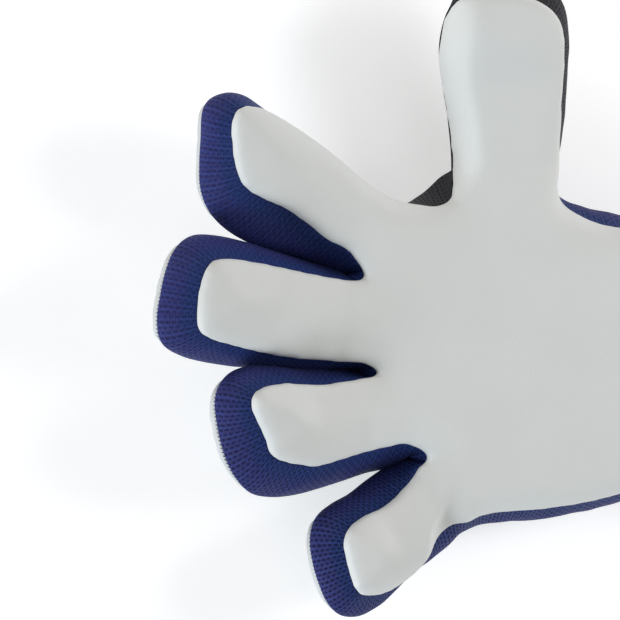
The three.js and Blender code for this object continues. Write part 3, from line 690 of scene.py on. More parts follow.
# Gives each corner of a flat plate its place on the hand. side is 1 for the palm and -1 for the back.
def formPlate(plate, rimPoints, tree, form):
    thick = form["thick"]
    flat = plate.data.attributes.new("flat", "FLOAT_VECTOR", "POINT")
    for vert in plate.data.vertices:
        x, y, z = vert.co
        flat.data[vert.index].vector = (x, y, 0)
        _, k, distance = tree.find((x, y, 0))
        x, y, d, high = x / mm, y / mm, distance / mm, z / mm / thick
        arch = math.sqrt(1 - (1 - min(d / form["rimRun"], 1)) ** 2)
        height = thick * mix(form["rimShare"], 1, arch) + form["crown"] * ease(d, 0, form["crownRun"])
        height += form["tipCrown"] * tipShare(x, y) * ease(d, 0, form["tipRun"])
        bumps = form["waver"] * noise.noise(Vector((x, y, 0)) / form["waverSize"])
        bumps *= ease(d, form["waverFrom"], form["waverTo"])
        relief = form["relief"](x, y, d, nearestDigit(x, y))
        wrap = rimPoints[k][2] * (1 - min(d / form["wrapRun"], 1)) ** form["wrapPower"]
        level = high * (height + bumps + relief) - thick - wrap
        vert.co = formed(x, y, form["side"], form["side"] * (level - form["lift"]))
    return plate


def distanceToLine(x, y, line):
    best = (math.inf, 0, 0)
    for k, (a, b) in enumerate(zip(line, line[1:])):
        ab, ap = Vector(b) - Vector(a), Vector((x, y)) - Vector(a)
        t = min(max(ap.dot(ab) / ab.length_squared, 0), 1)
        away = ap - ab * t
        side = 1 if ab.x * ap.y - ab.y * ap.x > 0 else -1
        best = min(best, (away.length, side, (k + t) / (len(line) - 1)))
    return best


# The latex dips a little where the digits bend, and has a fold between the little finger's root and the palm.
fold = {"line": [(-33, 10), (-41, 11), (-48, 12.6), (-54, 15), (-60.5, 18.5)], "depth": 2.4,
        "fingerSide": 5, "palmSide": 1.6, "right": -25, "low": -5, "high": 35, "deepFrom": 0.02,
        "deepTo": 0.7}
flex = {"depth": 0.35, "reach": 4, "from": 4, "to": 14}


def palmRelief(x, y, d, name):
    s = alongDigit(digits[name], x, y)[0]
    bends = sum(bell(s - digits[name][joint], flex["reach"]) for joint in ("middle", "knuckle"))
    dip = flex["depth"] * bends * ease(s, flex["from"], flex["to"])
    crease = 0
    if x < fold["right"] and fold["low"] < y < fold["high"]:
        away, side, t = distanceToLine(x, y, fold["line"])
        reach = fold["palmSide"] if side < 0 else fold["fingerSide"]
        crease = fold["depth"] * ease(t, fold["deepFrom"], fold["deepTo"]) * bell(away, reach)
    return -dip - crease


# The back has sewn channels across the digits, bowed towards their tips at the sides. onDigit holds their
# places as shares of the way from the knuckle to the middle joint.
channel = {"depth": 1, "reach": 0.95, "onDigit": (0.38, 0.62, 1.12), "before": 8, "sideReach": 30,
           "bow": 0.012, "edgeFrom": 1.5, "edgeTo": 3.5}


def backRelief(x, y, d, name):
    digit = digits[name]
    s, u = alongDigit(digit, x, y)
    depth = 0
    if s > digit["knuckle"] - channel["before"] and abs(u) < channel["sideReach"]:
        for share in channel["onDigit"]:
            at = mix(digit["knuckle"], digit["middle"], share) + channel["bow"] * u * u
            depth = max(depth, bell(s - at, channel["reach"]))
    depth *= ease(d, channel["edgeFrom"], channel["edgeTo"])
    return -channel["depth"] * depth


palmForm = {"thick": 5, "rimShare": 0.4, "rimRun": 3.6, "crown": 1.6, "crownRun": 12.5, "wrapRun": 9,
            "waver": 0.35, "waverSize": 22, "side": 1, "lift": 0.6, "voxel": 1.25, "relief": palmRelief,
            "tipCrown": 1.7, "tipRun": 18, "wrapPower": 2.4, "waverFrom": 2, "waverTo": 10}
backForm = {"thick": 4, "rimShare": 0.5, "rimRun": 1.8, "crown": 0.15, "crownRun": 12, "wrapRun": 8,
            "waver": 0.12, "waverSize": 20, "side": -1, "lift": 1, "voxel": 1.25, "relief": backRelief,
            "tipCrown": 0.3, "tipRun": 12, "wrapPower": 2.4, "waverFrom": 2, "waverTo": 10}


def foamPlate(name, rimPoints, tree, form):
    plate = flatPlate(name, [point[:2] for point in rimPoints], form["thick"], form["voxel"])
    formPlate(plate, rimPoints, tree, form)
    withModifier(plate, "SMOOTH", factor=0.5, iterations=9)
    withModifier(plate, "SUBSURF", levels=1, render_levels=1)
    return applied(plate)


# Where the fingers bend. A cut is square to a digit's line, and nothing on it may bend.
cut = {"before": 0.5, "aheadHalf": 0.5, "near": 4, "snap": 0.01, "wallAfter": 2}


def zoneOf(name, joint):
    return digits[name]["zones"][0 if joint == "knuckle" else 1]


def cutPlane(name, s):
    digit = digits[name]
    place = Vector(curled(digit, s, 0, 0))
    half = cut["aheadHalf"]
    ahead = Vector(curled(digit, s + half, 0, 0)) - Vector(curled(digit, s - half, 0, 0))
    return place * mm, ahead.normalized()


# Half way between the two stretches of a digit that bend
def secondCut(name):
    return (zoneOf(name, "knuckle")[1] + zoneOf(name, "middle")[0]) / 2


planes = {name: [cutPlane(name, zoneOf(name, "knuckle")[0] - cut["before"]), cutPlane(name, secondCut(name))]
          for name in digits}


# 0 on the hand itself, 1 and 2 on a digit's first and second stretch
def stretchAt(place, name):
    passed = [(place - point).dot(normal) > 0 for point, normal in planes[name]]
    return 0 if not passed[0] else 2 if passed[1] else 1


# Cuts each digit's faces at its planes
def bisected(bm, ownerOf):
    for name, pair in planes.items():
        for point, normal in pair:
            near = [face for face in bm.faces
                    if abs((face.calc_center_median() - point).dot(normal)) < cut["near"] * mm]
            faces = [face for face in near if ownerOf(bm, face) == name]
            parts = set(faces)
            for face in faces:
                parts.update(face.edges)
                parts.update(face.verts)
            bmesh.ops.bisect_plane(bm, geom=list(parts), dist=cut["snap"] * mm, plane_co=point,
                                   plane_no=normal)


# Makes a piece of each group of a formed mesh's faces. Pieces that meet keep the whole mesh's normals, so
# that no line shows between them.
def cutUp(whole, keyOf, ownerOf=None):
    bm = bmesh.new()
    bm.from_mesh(whole.data)
    if ownerOf:
        bisected(bm, ownerOf)
    bm.normal_update()
    keep = bm.verts.layers.float_vector.new("formNormal")
    for vert in bm.verts:
        vert[keep] = vert.normal
    groups = {}
    bm.faces.ensure_lookup_table()
    for face in bm.faces:
        groups.setdefault(keyOf(bm, face), []).append(face.index)
    pieces = {}
    for key, indices in groups.items():
        part = bm.copy()
        part.faces.ensure_lookup_table()
        wanted = set(indices)
        others = [face for face in part.faces if face.index not in wanted]
        bmesh.ops.delete(part, geom=others, context="FACES")
        bmesh.ops.holes_fill(part, edges=[edge for edge in part.edges if edge.is_boundary], sides=0)
        layer = part.verts.layers.float_vector["formNormal"]
        normals = [vert[layer].copy() for vert in part.verts]
        piece = fromBmesh("_".join(str(word) for word in key), part)
        piece.data.shade_smooth()
        piece.data.normals_split_custom_set_from_vertices(normals)
        for attribute in ("flat", "formNormal"):
            if attribute in piece.data.attributes:
                piece.data.attributes.remove(piece.data.attributes[attribute])
        pieces[key] = piece
    bm.free()
    bpy.data.objects.remove(whole)
    return pieces


def plateOwner(tree):
    def ownerOf(bm, face):
        flat = bm.verts.layers.float_vector["flat"]
        return ownerIn(tree, sum((vert[flat] for vert in face.verts), Vector()) / len(face.verts))
    return ownerOf


def plateKey(ownerOf):
    def keyOf(bm, face):
        owner = ownerOf(bm, face)
        stretch = stretchAt(face.calc_center_median(), owner)
        return (owner, stretch) if stretch else ("hand", 0)
    return keyOf


# Works the place of a piece of a digit into its mesh, and finds the ends of the stretch where its joint bends
def bendWith(piece, name, stretch):
    joint = "knuckle" if stretch == 1 else "middle"
    bodies = ("hand", name + "_middle") if stretch == 1 else (name + "_middle", name + "_tip")
    start, end = (Vector(curled(digits[name], s, 0, hand["hinge"])) * mm for s in zoneOf(name, joint))
    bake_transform(piece)
    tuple(start)
    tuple(end)


def foamPieces(kind, whole, tree, slot, material, handNode):
    ownerOf = plateOwner(tree)
    pieces = cutUp(whole, plateKey(ownerOf), ownerOf)
    for (name, stretch), piece in pieces.items():
        if name == "hand":
            piece.name = kind + "_foam"
            dress(piece, "hand", slot, material, handNode)
        else:
            node = f"{name}_{kind}_" + ("middle" if stretch == 1 else "tip")
            piece.name = node + "_foam"
            dress(piece, None, slot, material, node)
            bendWith(piece, name, stretch)
    print(kind, len(pieces), "pieces")


palmPlate = foamPlate("palmPlate", palmRim, palmTree, palmForm)
foamPieces("palm", palmPlate, palmTree, "latex", "latex", "palm_latex")
backPlate = foamPlate("backPlate", backRim, backTree, backForm)
foamPieces("back", backPlate, backTree, "back_foam", "back", "backhand_panel")


def areaOf(piece):
    return sum(polygon.area for polygon in piece.data.polygons)


def asSheet(piece, width):
    length = areaOf(piece) / 2 / width / mm
    width * mm


# The side walls of mesh cloth: one band round the whole hand, sewn under the latex and over the back
wall = {"columns": 12, "thick": 1.1, "palmInset": 1.3, "crotchInset": 2.6, "palmDepth": 4.6,
        "backInset": -0.2, "closeInset": -0.35, "backDepth": 4.6, "bulge": 1.8, "bulgePower": 1.25,
        "pucker": 0.4, "puckerSize": 7, "closeFrom": 1, "palmCloseTo": 6, "backCloseTo": 5, "bulgeFrom": 1.5,
        "bulgeTo": 8, "puckerFrom": 0.08, "puckerTo": 0.3, "width": 20}


def tipRow(name):
    owned = [k for k in range(len(rim)) if rimOwners[k] == name]
    return max(owned, key=lambda k: alongDigit(digits[name], *rim[k][:2])[0])


tipRows = [tipRow(name) for name in digits]


# The cloth bulges, but not where the digits are close, and only a little in the web between the thumb and
# the index finger. The web's runs are rows of the band, from the thumb's tip and to the index finger's.
web = {"from": 4, "fromRun": 16, "to": 4, "toRun": 20, "flatter": 0.9}


def bulgeAt(row):
    inWeb = ease(row, tipRows[0] + web["from"], tipRows[0] + web["fromRun"])
    inWeb *= ease(tipRows[1] - row, web["to"], web["toRun"])
    return ease(rooms[row], wall["bulgeFrom"], wall["bulgeTo"]) * (1 - web["flatter"] * inWeb)


def wallPlace(row, share):
    x, y, drop, xBack, yBack = rim[row]
    palmRoom = ease(rooms[row], wall["closeFrom"], wall["palmCloseTo"])
    backRoom = ease(backRooms[row], wall["closeFrom"], wall["backCloseTo"])
    palmIn = mix(wall["crotchInset"], wall["palmInset"], palmRoom)
    backIn = mix(wall["closeInset"], wall["backInset"], backRoom)
    a = Vector((x, y)) - palmOutward[row] * palmIn
    b = Vector((xBack, yBack)) - backOutward[row] * backIn
    outward = palmOutward[row].lerp(backOutward[row], share)
    pucker = noise.noise(Vector((row * rimStep, share * wall["width"], 0)) / wall["puckerSize"])
    bulge = wall["bulge"] * math.sin(math.pi * share ** wall["bulgePower"])
    inner, outer = (ease(x, wall["puckerFrom"], wall["puckerTo"]) for x in (share, 1 - share))
    bulge += wall["pucker"] * pucker * inner * outer
    place = a.lerp(b, share) + outward * bulge * bulgeAt(row)
    offset = mix(-wall["palmDepth"] - drop - palmForm["lift"], wall["backDepth"] + backForm["lift"], share)
    return formed(place.x, place.y, mix(1, -1, share), offset) / mm


rows = len(rim) - 1
band = gridPiece("wall", rows, wall["columns"], (rows * rimStep, wall["width"]),
                 lambda a, b: wallPlace(round(a * rows), b))
wallWidth = areaOf(band) / (rows * rimStep * mm) / mm
print("side walls", round(wallWidth, 1), "mm wide on average")
withModifier(band, "SOLIDIFY", thickness=wall["thick"] * mm, offset=-1)
withModifier(band, "SUBSURF", levels=1, render_levels=1)


# The band is cut between its rows. A digit's first cut is where its knuckle has only just begun to bend.
def wallKey(bm, face):
    cloth = bm.loops.layers.uv.active
    row = sum(loop[cloth].uv.x for loop in face.loops) / len(face.loops) / mm / rimStep
    owner = rimOwners[round(row)]
    s = alongDigit(digits[owner], *rim[round(row)][:2])[0]
    if s > secondCut(owner):
        return owner, 2
    passed = sum(row > tip for tip in tipRows)
    first = zoneOf(owner, "knuckle")[0] + cut["wallAfter"]
    return (owner, 1, passed) if s > first else ("hand", 0, passed)


handWalls = ["radial_side_gusset", "thumb_web_gusset", "index_middle_crotch_gusset",
             "middle_ring_crotch_gusset", "ring_pinky_crotch_gusset", "ulnar_side_gusset"]
walls = cutUp(applied(band), wallKey)
for key, piece in walls.items():
    name, stretch = key[:2]
    if stretch == 0:
        node = handWalls[key[2]]
    elif stretch == 2:
        node = name + "_tip_gusset"
    else:
        node = name + ("_ulnar_gusset" if key[2] > list(digits).index(name) else "_radial_gusset")
    dark = "thumb" in node
    piece.name = node + "_cloth"
    slot, material = ("dark_knit", "black") if dark else ("knit", "navy")
    dress(piece, None if stretch else "hand", slot, material, node)
    if stretch:
        bendWith(piece, name, stretch)
    asSheet(piece, wallWidth)
print("walls", len(walls), "pieces")


# One piece of many small shapes, made a batch at a time, which is quicker
def scattered(name, matrices, addShape, batch=40):
    whole = bmesh.new()
    for k in range(0, len(matrices), batch):
        part = bmesh.new()
        for matrix in matrices[k:k + batch]:
            addShape(part, matrix)
        mesh = bpy.data.meshes.new(name)
        part.to_mesh(mesh)
        part.free()
        whole.from_mesh(mesh)
        bpy.data.meshes.remove(mesh)
    piece = fromBmesh(name, whole)
    piece.data.shade_smooth()
    return piece


# Stitches are small ovals of thread.
def addStitch(bm, matrix):
    bmesh.ops.create_uvsphere(bm, u_segments=6, v_segments=4, radius=mm, matrix=matrix)


def stitchMatrix(place, ahead, outward, length, thick):
    across = outward.cross(ahead).normalized()
    turn = Matrix((ahead.normalized(), across, ahead.cross(across).normalized())).transposed().to_4x4()
    return Matrix.Translation(place) @ turn @ Matrix.Diagonal((length / 2, thick / 2, thick / 2, 1))


# Overlocked threads along the seam between the side walls and the back
seam = {"step": 1.15, "thick": 0.4, "upperInset": -0.3, "upperRaise": 0.8, "lowerInset": 0.45,
        "lowerRaise": -1.1, "ahead": 0.3}


def seamPlace(row, end):
    low = min(int(row), len(rim) - 2)
    share = row - low
    x, y = (mix(rim[low][k], rim[low + 1][k], share) for k in (3, 4))
    place = Vector((x, y)) - backOutward[low] * seam[end + "Inset"]
    return formed(place.x, place.y, -1, backForm["thick"] + backForm["lift"] + seam[end + "Raise"])


seamGroups = {}
count = int((len(rim) - 1) * rimStep / seam["step"])
for k in range(count):
    row = k * seam["step"] / rimStep
    upper, lower = seamPlace(row, "upper"), seamPlace(row, "lower")
    outward = (upper - lower).cross(seamPlace(row + seam["ahead"], "upper") - upper)
    place = (upper + lower) / 2
    owner = rimOwners[round(row)]
    stretch = stretchAt(place, owner)
    matrix = stitchMatrix(place, upper - lower, outward, (upper - lower).length / mm, seam["thick"])
    seamGroups.setdefault((owner, stretch) if stretch else ("hand", 0), []).append(matrix)
for (name, stretch), matrices in seamGroups.items():
    piece = scattered(f"{name}_seam_" + ("hand", "middle", "tip")[stretch], matrices, addStitch)
    dress(piece, None if stretch else "hand", "dark_knit", "darkThread")
    if stretch:
        bendWith(piece, name, stretch)
print("seam", count, "stitches")

# Linings of towelling in the hand. They fill the room of their solids, less a little at the edges and more at
# the fingers' end.
liningPlate = {"corner": 9, "thick": 2, "voxel": 1.6, "inset": 0.5, "tipInset": 4.5, "pile": 0.12,
               "pileSize": 1.7}


def roundedOutline(half, low, high, corner, step=5):
    points = []
    for cx, cy, start in ((half - corner, high - corner, 0), (corner - half, high - corner, 90),
                          (corner - half, low + corner, 180), (half - corner, low + corner, 270)):
        for k in range(0, 91, step):
            turn = math.radians(start + k)
            points.append((cx + corner * math.cos(turn), cy + corner * math.sin(turn)))
    return points


for node in ("palm_lining", "backhand_lining"):
    low, high = (Vector(corner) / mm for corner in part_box(node))
    inset = liningPlate["inset"]
    outline = roundedOutline((high.x - low.x) / 2 - inset, low.y + inset, high.y - liningPlate["tipInset"],
                             liningPlate["corner"])
    lining = flatPlate(node + "Plate", outline, liningPlate["thick"], liningPlate["voxel"])
    for vert in lining.data.vertices:
        pile = liningPlate["pile"] * noise.noise(vert.co / mm / liningPlate["pileSize"])
        vert.co.z += (low.z + pile) * mm
        vert.co.x += (high.x + low.x) / 2 * mm
    withModifier(lining, "SMOOTH", factor=0.5, iterations=2)
    applied(lining)
    lining.data.shade_smooth()
    lining.name = node + "_towel"
    dress(lining, "hand", "lining", "lining", node)
print("linings")

# The knuckle pad on the back, with sewn channels. Its outer face is the face that the glove rests on.
pad = {"half": 38, "low": -38, "high": 14, "corner": 12, "thick": 1.7, "voxel": 0.9, "middle": -12,
       "channels": (-22.8, -7.6, 7.6, 22.8), "channelHalf": 19, "channelDepth": 1, "channelReach": 1.1,
       "rim": 1.2, "rimDepth": 0.75, "rimSteps": 20}
padOutline = roundedOutline(pad["half"], pad["low"], pad["high"], pad["corner"], 3)
padPlate = flatPlate("padPlate", padOutline, pad["thick"], pad["voxel"])
padShares = [k / pad["rimSteps"] for k in range(pad["rimSteps"])]
padTree = treeOf([(mix(a[0], b[0], share), mix(a[1], b[1], share))
                  for a, b in zip(padOutline, padOutline[1:] + padOutline[:1]) for share in padShares])
for vert in padPlate.data.vertices:
    x, y, z = vert.co / mm
    d = padTree.find((vert.co.x, vert.co.y, 0))[2] / mm
    lower = 1 - z / pad["thick"]
    dropped = 1 - math.sqrt(1 - (1 - min(d / pad["rim"], 1)) ** 2)
    past = max(abs(y - pad["middle"]) - pad["channelHalf"], 0)
    sewn = max(bell(math.hypot(x - centre, past), pad["channelReach"]) for centre in pad["channels"])
    vert.co.z += lower * (pad["rimDepth"] * dropped + sewn * pad["channelDepth"]) * mm
withModifier(padPlate, "SMOOTH", factor=0.4, iterations=2)
withModifier(padPlate, "SUBSURF", levels=1, render_levels=1)
applied(padPlate)
lowest = min(vert.co.z for vert in padPlate.data.vertices)
padPlate.data.transform(Matrix.Translation((0, 0, -lowest)))
padPlate.data.shade_smooth()
padPlate.name = "knuckle_pad_foam"
dress(padPlate, "hand", "latex", "latex", "knuckle_pad")
print("knuckle pad")

# Cuff of ribbed elastic knit. Angles run from the thumb's side over the palm's side.
cuff = {"from": -58.4, "full": -76, "neck": -66, "flare": -122, "end": -137, "tuckHalf": 41, "half": 42,
        "endHalf": 44, "tuckRise": 8.6, "rise": 11.7, "power": 2.4, "wall": 2.1, "columns": 504, "rows": 40,
        "ribs": 84, "ribDepth": 0.55, "ribPower": 1.5, "gather": 0.2, "gatherSize": 7, "gatherLobes": 4,
        "settle": 0.1, "insideRows": 8, "plain": -100, "flareOver": 1}


def signedPower(x, power):
    return math.copysign(abs(x) ** power, x)


def cuffPoint(y, degrees, offset):
    tucked = ease(-y, -cuff["neck"], -cuff["full"])
    flared = ease(-y, -cuff["flare"], -cuff["end"] - cuff["flareOver"])
    half = mix(mix(cuff["tuckHalf"], cuff["half"], tucked), cuff["endHalf"], flared) + offset
    rise = mix(cuff["tuckRise"], cuff["rise"], tucked) + offset
    turn = math.radians(degrees)
    return (half * signedPower(math.cos(turn), 2 / cuff["power"]), y,
            hand["centre"] + rise * signedPower(math.sin(turn), 2 / cuff["power"]))


# Angles at equal steps of length round the cuff, so that its ribs are even. They are found from tenths of
# degrees.
def evenAngles(count):
    fine = [Vector(cuffPoint(cuff["plain"], k / 10, 0)) for k in range(3601)]
    lengths = [0]
    for a, b in zip(fine, fine[1:]):
        lengths.append(lengths[-1] + (b - a).length)
    angles, k = [], 0
    for i in range(count + 1):
        while k < 3599 and lengths[k + 1] < lengths[-1] * i / count:
            k += 1
        share = (lengths[-1] * i / count - lengths[k]) / (lengths[k + 1] - lengths[k])
        angles.append((k + share) / 10)
    return angles, lengths[-1]


ribAngles, cuffRound = evenAngles(cuff["columns"])

# Down the ribbed outside, back up the plain inside, and out to the start
cuffSection = [(k / cuff["rows"], 0, 1) for k in range(cuff["rows"] + 1)]
cuffSection += [(1 - k / cuff["insideRows"], -cuff["wall"], 0) for k in range(cuff["insideRows"] + 1)]
cuffSection += [(0, 0, 1)]


def cuffPlace(a, b):
    share, offset, ribbed = cuffSection[round(b * (len(cuffSection) - 1))]
    y = mix(cuff["from"], cuff["end"], share)
    k = round(a * cuff["columns"])
    rib = 0.5 - 0.5 * math.cos(2 * math.pi * cuff["ribs"] * k / cuff["columns"])
    turn = 2 * math.pi * a
    lobes = cuff["gatherLobes"]
    spot = Vector((math.cos(turn) * lobes, math.sin(turn) * lobes, y / cuff["gatherSize"]))
    gather = cuff["gather"] * noise.noise(spot)
    outer = ribbed * (gather - cuff["settle"] - cuff["ribDepth"] * rib ** cuff["ribPower"])
    return cuffPoint(y, ribAngles[k % cuff["columns"]], offset + outer)


cuffLength = cuff["from"] - cuff["end"]
sleeveCloth = (cuffRound, 2 * cuffLength)
sleeve = gridPiece("cuff_sleeve_knit", cuff["columns"], len(cuffSection) - 1, sleeveCloth, cuffPlace)
shadeSmooth(sleeve, 60)
dress(sleeve, "hand", "cuff_knit", "cuff", "cuff_sleeve")
cuffRound * mm

# Binding tape folded over the cuff's end, and its row of stitches
binding = {"middle": -137.9, "half": 1.6, "depth": 2.1, "inward": -1.1, "columns": 252, "rows": 20,
           "power": 3, "opening": 0.07, "thick": 0.6, "width": 11, "rowIn": 0.8, "rowRaise": 1.02,
           "stitch": (2.6, 2, 0.45)}


def bindingPlace(a, b):
    turn = 2 * math.pi * mix(binding["opening"], 1 - binding["opening"], b)
    y = binding["middle"] + binding["half"] * signedPower(math.cos(turn), 2 / binding["power"])
    offset = binding["inward"] + binding["depth"] * signedPower(math.sin(turn), 2 / binding["power"])
    return cuffPoint(y, ribAngles[round(a * binding["columns"]) % binding["columns"] * 2], offset)


tapeCloth = (cuffRound, binding["width"])
tape = gridPiece("cuff_binding_tape", binding["columns"], binding["rows"], tapeCloth, bindingPlace)
thickened(tape, binding["thick"])
dress(tape, "hand", "dark_knit", "binding", "cuff_binding")
asSheet(tape, binding["width"])


# Even steps along a row of places, each with the heading along the row and the outward one
def evenSteps(places, step):
    walked, goal = 0, step / 2
    for (a, outward), (b, _) in zip(places, places[1:]):
        run = (b - a).length / mm
        while run and walked + run >= goal:
            yield a.lerp(b, (goal - walked) / run), b - a, outward
            goal += step
        walked += run


def stitchRow(places, step, length, thick):
    return [stitchMatrix(*place, length, thick) for place in evenSteps(places, step)]


# A lift or a profile that is the same everywhere
def level(lift):
    return lambda degrees: lift


# Places round the cuff, each with its outward heading
def roundCuff(y, lift, degreesFrom, degreesTo, count=180):
    places = []
    for k in range(count + 1):
        degrees = mix(degreesFrom, degreesTo, k / count)
        low, high = (Vector(cuffPoint(y, degrees, lift(degrees) + more)) * mm for more in (0, 1))
        places.append((low, (high - low).normalized()))
    return places


bindingPlaces = roundCuff(binding["middle"] + binding["rowIn"], level(binding["rowRaise"]), 0, 360)
bindingRow = stitchRow(bindingPlaces, *binding["stitch"])
bindingStitches = scattered("cuff_binding_stitches", bindingRow, addStitch)
dress(bindingStitches, "hand", "dark_knit", "darkThread")
print("cuff")

# Wrist strap: a coated elastic band with raised edges, sewn lines and shallow channels
strap = {"near": -82, "far": -122, "thick": 2.4, "start": 300, "ramp": 152, "root": 119, "end": 52,
         "lift": 0.3, "flapLift": 2.7, "columns": 210, "flapColumns": 90, "rows": 40, "edgeLine": 3.4,
         "lineDepth": 0.35, "lineReach": 0.7, "channels": (10.5, 16.8, 23.2, 29.5), "channelDepth": 0.4,
         "channelReach": 0.9, "edgeDrop": 0.5, "edgeRun": 1.6, "crown": 0.25, "bevel": 0.35,
         "overlap": 0.6, "skin": 0.3, "threadSunk": 0.42, "lapInset": 1.6, "stitch": (2.8, 2.2, 0.45),
         "stitchRun": 240}
strapWidth = strap["near"] - strap["far"]
strapMiddle = (strap["near"] + strap["far"]) / 2


def strapProfile(w):
    across = w * strapWidth
    edge = min(across, strapWidth - across)
    depth = strap["lineDepth"] * bell(edge - strap["edgeLine"], strap["lineReach"])
    for centre in strap["channels"]:
        depth = max(depth, strap["channelDepth"] * bell(across - centre, strap["channelReach"]))
    drop = strap["edgeDrop"] * (1 - ease(edge, 0, strap["edgeRun"]))
    return -depth - drop + strap["crown"] * math.sin(math.pi * w)


def strapLift(degrees):
    climbed = ease(-degrees, -strap["ramp"], -strap["root"] - strap["overlap"])
    return mix(strap["lift"], strap["flapLift"], climbed)


# A band round the cuff between two angles. lift says how far its inner face is off the cuff.
def bandPiece(name, columns, degreesFrom, degreesTo, lift, thick, profile, margin=0, rows=strap["rows"]):
    def place(a, b):
        degrees = mix(degreesTo, degreesFrom, a)
        y = mix(strap["near"] - margin, strap["far"] + margin, b)
        return cuffPoint(y, degrees, lift(degrees) + thick + profile(b))
    run = roundCuff(strapMiddle, level(2), degreesFrom, degreesTo)
    length = sum((b[0] - a[0]).length for a, b in zip(run, run[1:])) / mm
    piece = gridPiece(name, columns, rows, (length, strapWidth - 2 * margin), place)
    return thickened(piece, thick, strap["bevel"])


flapLift = level(strap["flapLift"])
mainStrap = bandPiece("wrist_strap_band", strap["columns"], strap["start"], strap["root"] + strap["overlap"],
                      strapLift, strap["thick"] - strap["skin"], strapProfile)
dress(mainStrap, "hand", "strap", "strap", "wrist_strap")
flap = bandPiece("strap_flap_band", strap["flapColumns"], strap["root"], strap["end"], flapLift,
                 strap["thick"] - strap["skin"], strapProfile)
dress(flap, "flap", "strap", "strap", "strap_flap")
asSheet(mainStrap, strapWidth)
asSheet(flap, strapWidth)


def strapStitches(name, body, degreesFrom, degreesTo, lift):
    def threadLift(degrees):
        return lift(degrees) + strap["thick"] - strap["threadSunk"]
    matrices = []
    for y in (strap["near"] - strap["edgeLine"], strap["far"] + strap["edgeLine"]):
        places = roundCuff(y, threadLift, degreesFrom, degreesTo, strap["stitchRun"])
        matrices += stitchRow(places, *strap["stitch"])
    dress(scattered(name, matrices, addStitch), body, "strap", "paleThread")


strapStitches("wrist_strap_stitches", "hand", strap["start"] - 1, strap["root"] + strap["lapInset"],
              strapLift)
strapStitches("strap_flap_stitches", "flap", strap["root"] - 1, strap["end"] + 1, flapLift)
print("strap")

# Hook and loop tape under the flap. The hooks point at the loops.
fastener = {"margin": 3, "loopFrom": 114, "loopTo": 44, "loopLift": 0.3, "loopThick": 1, "hookFrom": 108,
            "hookTo": 57, "hookLift": 1.6, "hookThick": 0.8, "hookStep": 1.6, "hookHeight": 0.28,
            "hookRadius": 0.22, "hookInset": 1.5, "pile": 0.09, "pileScale": 1.1, "edgeDrop": 0.3,
            "edgeShare": 0.03, "skin": 0.1, "loopColumns": 130, "loopRows": 70,
            "hookColumns": 60, "hookRows": 20}


def loopProfile(w):
    return -fastener["edgeDrop"] * (1 - ease(min(w, 1 - w), 0, fastener["edgeShare"]))


loops = bandPiece("strap_loop_patch_pile", fastener["loopColumns"], fastener["loopFrom"], fastener["loopTo"],
                  level(fastener["loopLift"]), fastener["loopThick"] - fastener["skin"], loopProfile,
                  fastener["margin"], fastener["loopRows"])
for vert in loops.data.vertices:
    vert.co += vert.normal * (fastener["pile"] * noise.noise(vert.co / mm * fastener["pileScale"]) * mm)
dress(loops, "hand", "fastener", "loopTape", "strap_loop_patch")
asSheet(loops, strapWidth - 2 * fastener["margin"])
hooks = bandPiece("strap_hook_patch_tape", fastener["hookColumns"], fastener["hookFrom"], fastener["hookTo"],
                  level(fastener["hookLift"]), fastener["hookThick"], level(0), fastener["margin"],
                  fastener["hookRows"])
hookMatrices = []
y = strap["near"] - fastener["margin"] - fastener["hookInset"]
while y > strap["far"] + fastener["margin"] + 1:
    places = roundCuff(y, level(fastener["hookLift"]), fastener["hookFrom"] - fastener["hookInset"],
                       fastener["hookTo"] + fastener["hookInset"], 60)
    for onTape, _, outward in evenSteps(places, fastener["hookStep"]):
        place = onTape - outward * fastener["hookHeight"] / 2 * mm
        turn = outward.to_track_quat("Z", "Y").to_matrix().to_4x4()
        hookMatrices.append(Matrix.Translation(place) @ turn)
    y -= fastener["hookStep"]


def addHook(bm, matrix):
    root, tip = fastener["hookRadius"] * mm, fastener["hookRadius"] * 0.6 * mm
    bmesh.ops.create_cone(bm, cap_ends=True, segments=5, radius1=root, radius2=tip,
                          depth=fastener["hookHeight"] * mm, matrix=matrix)


dress(hooks, "flap", "fastener", "hookTape", "strap_hook_patch")
asSheet(hooks, strapWidth - 2 * fastener["margin"])
dress(scattered("strap_hook_patch_hooks", hookMatrices, addHook), "flap", "fastener", "hookTape")
print("fastener")

# Moulded pull tab at the flap's end, with ridges for the fingers
tab = {"from": 51.9, "to": 33, "half": 12, "thick": 2, "ridge": 0.8, "ridges": 4, "ridgePower": 0.7,
       "columns": 96, "rows": 28, "shell": 1.35, "roundFrom": 0.6, "roundPower": 2.4, "roundShare": 5.2,
       "rimShare": 0.7, "sideRun": 0.14, "endRun": 0.08}


def tabPlace(a, b):
    t = 1 - a
    narrow = (1 - max(t - tab["roundFrom"], 0) ** tab["roundPower"] * tab["roundShare"]) ** 0.5
    ridge = tab["ridge"] * (0.5 - 0.5 * math.cos(t * tab["ridges"] * 2 * math.pi)) ** tab["ridgePower"]
    edge = 1 - abs(2 * b - 1)
    rounded = ease(edge, 0, tab["sideRun"]) * ease(1 - t, 0, tab["endRun"])
    y = strapMiddle - tab["half"] * (2 * b - 1) * narrow
    raised = strap["flapLift"] + tab["thick"] * mix(tab["rimShare"], 1, rounded) + ridge * rounded
    return cuffPoint(y, mix(tab["from"], tab["to"], t), raised)


tabCloth = (2 * tab["half"], 2 * tab["half"])
pullTab = gridPiece("strap_pull_tab_moulding", tab["columns"], tab["rows"], tabCloth, tabPlace)
thickened(pullTab, tab["shell"], smooth=45)
dress(pullTab, "flap", "tab", "tab", "strap_pull_tab")
print("tab")

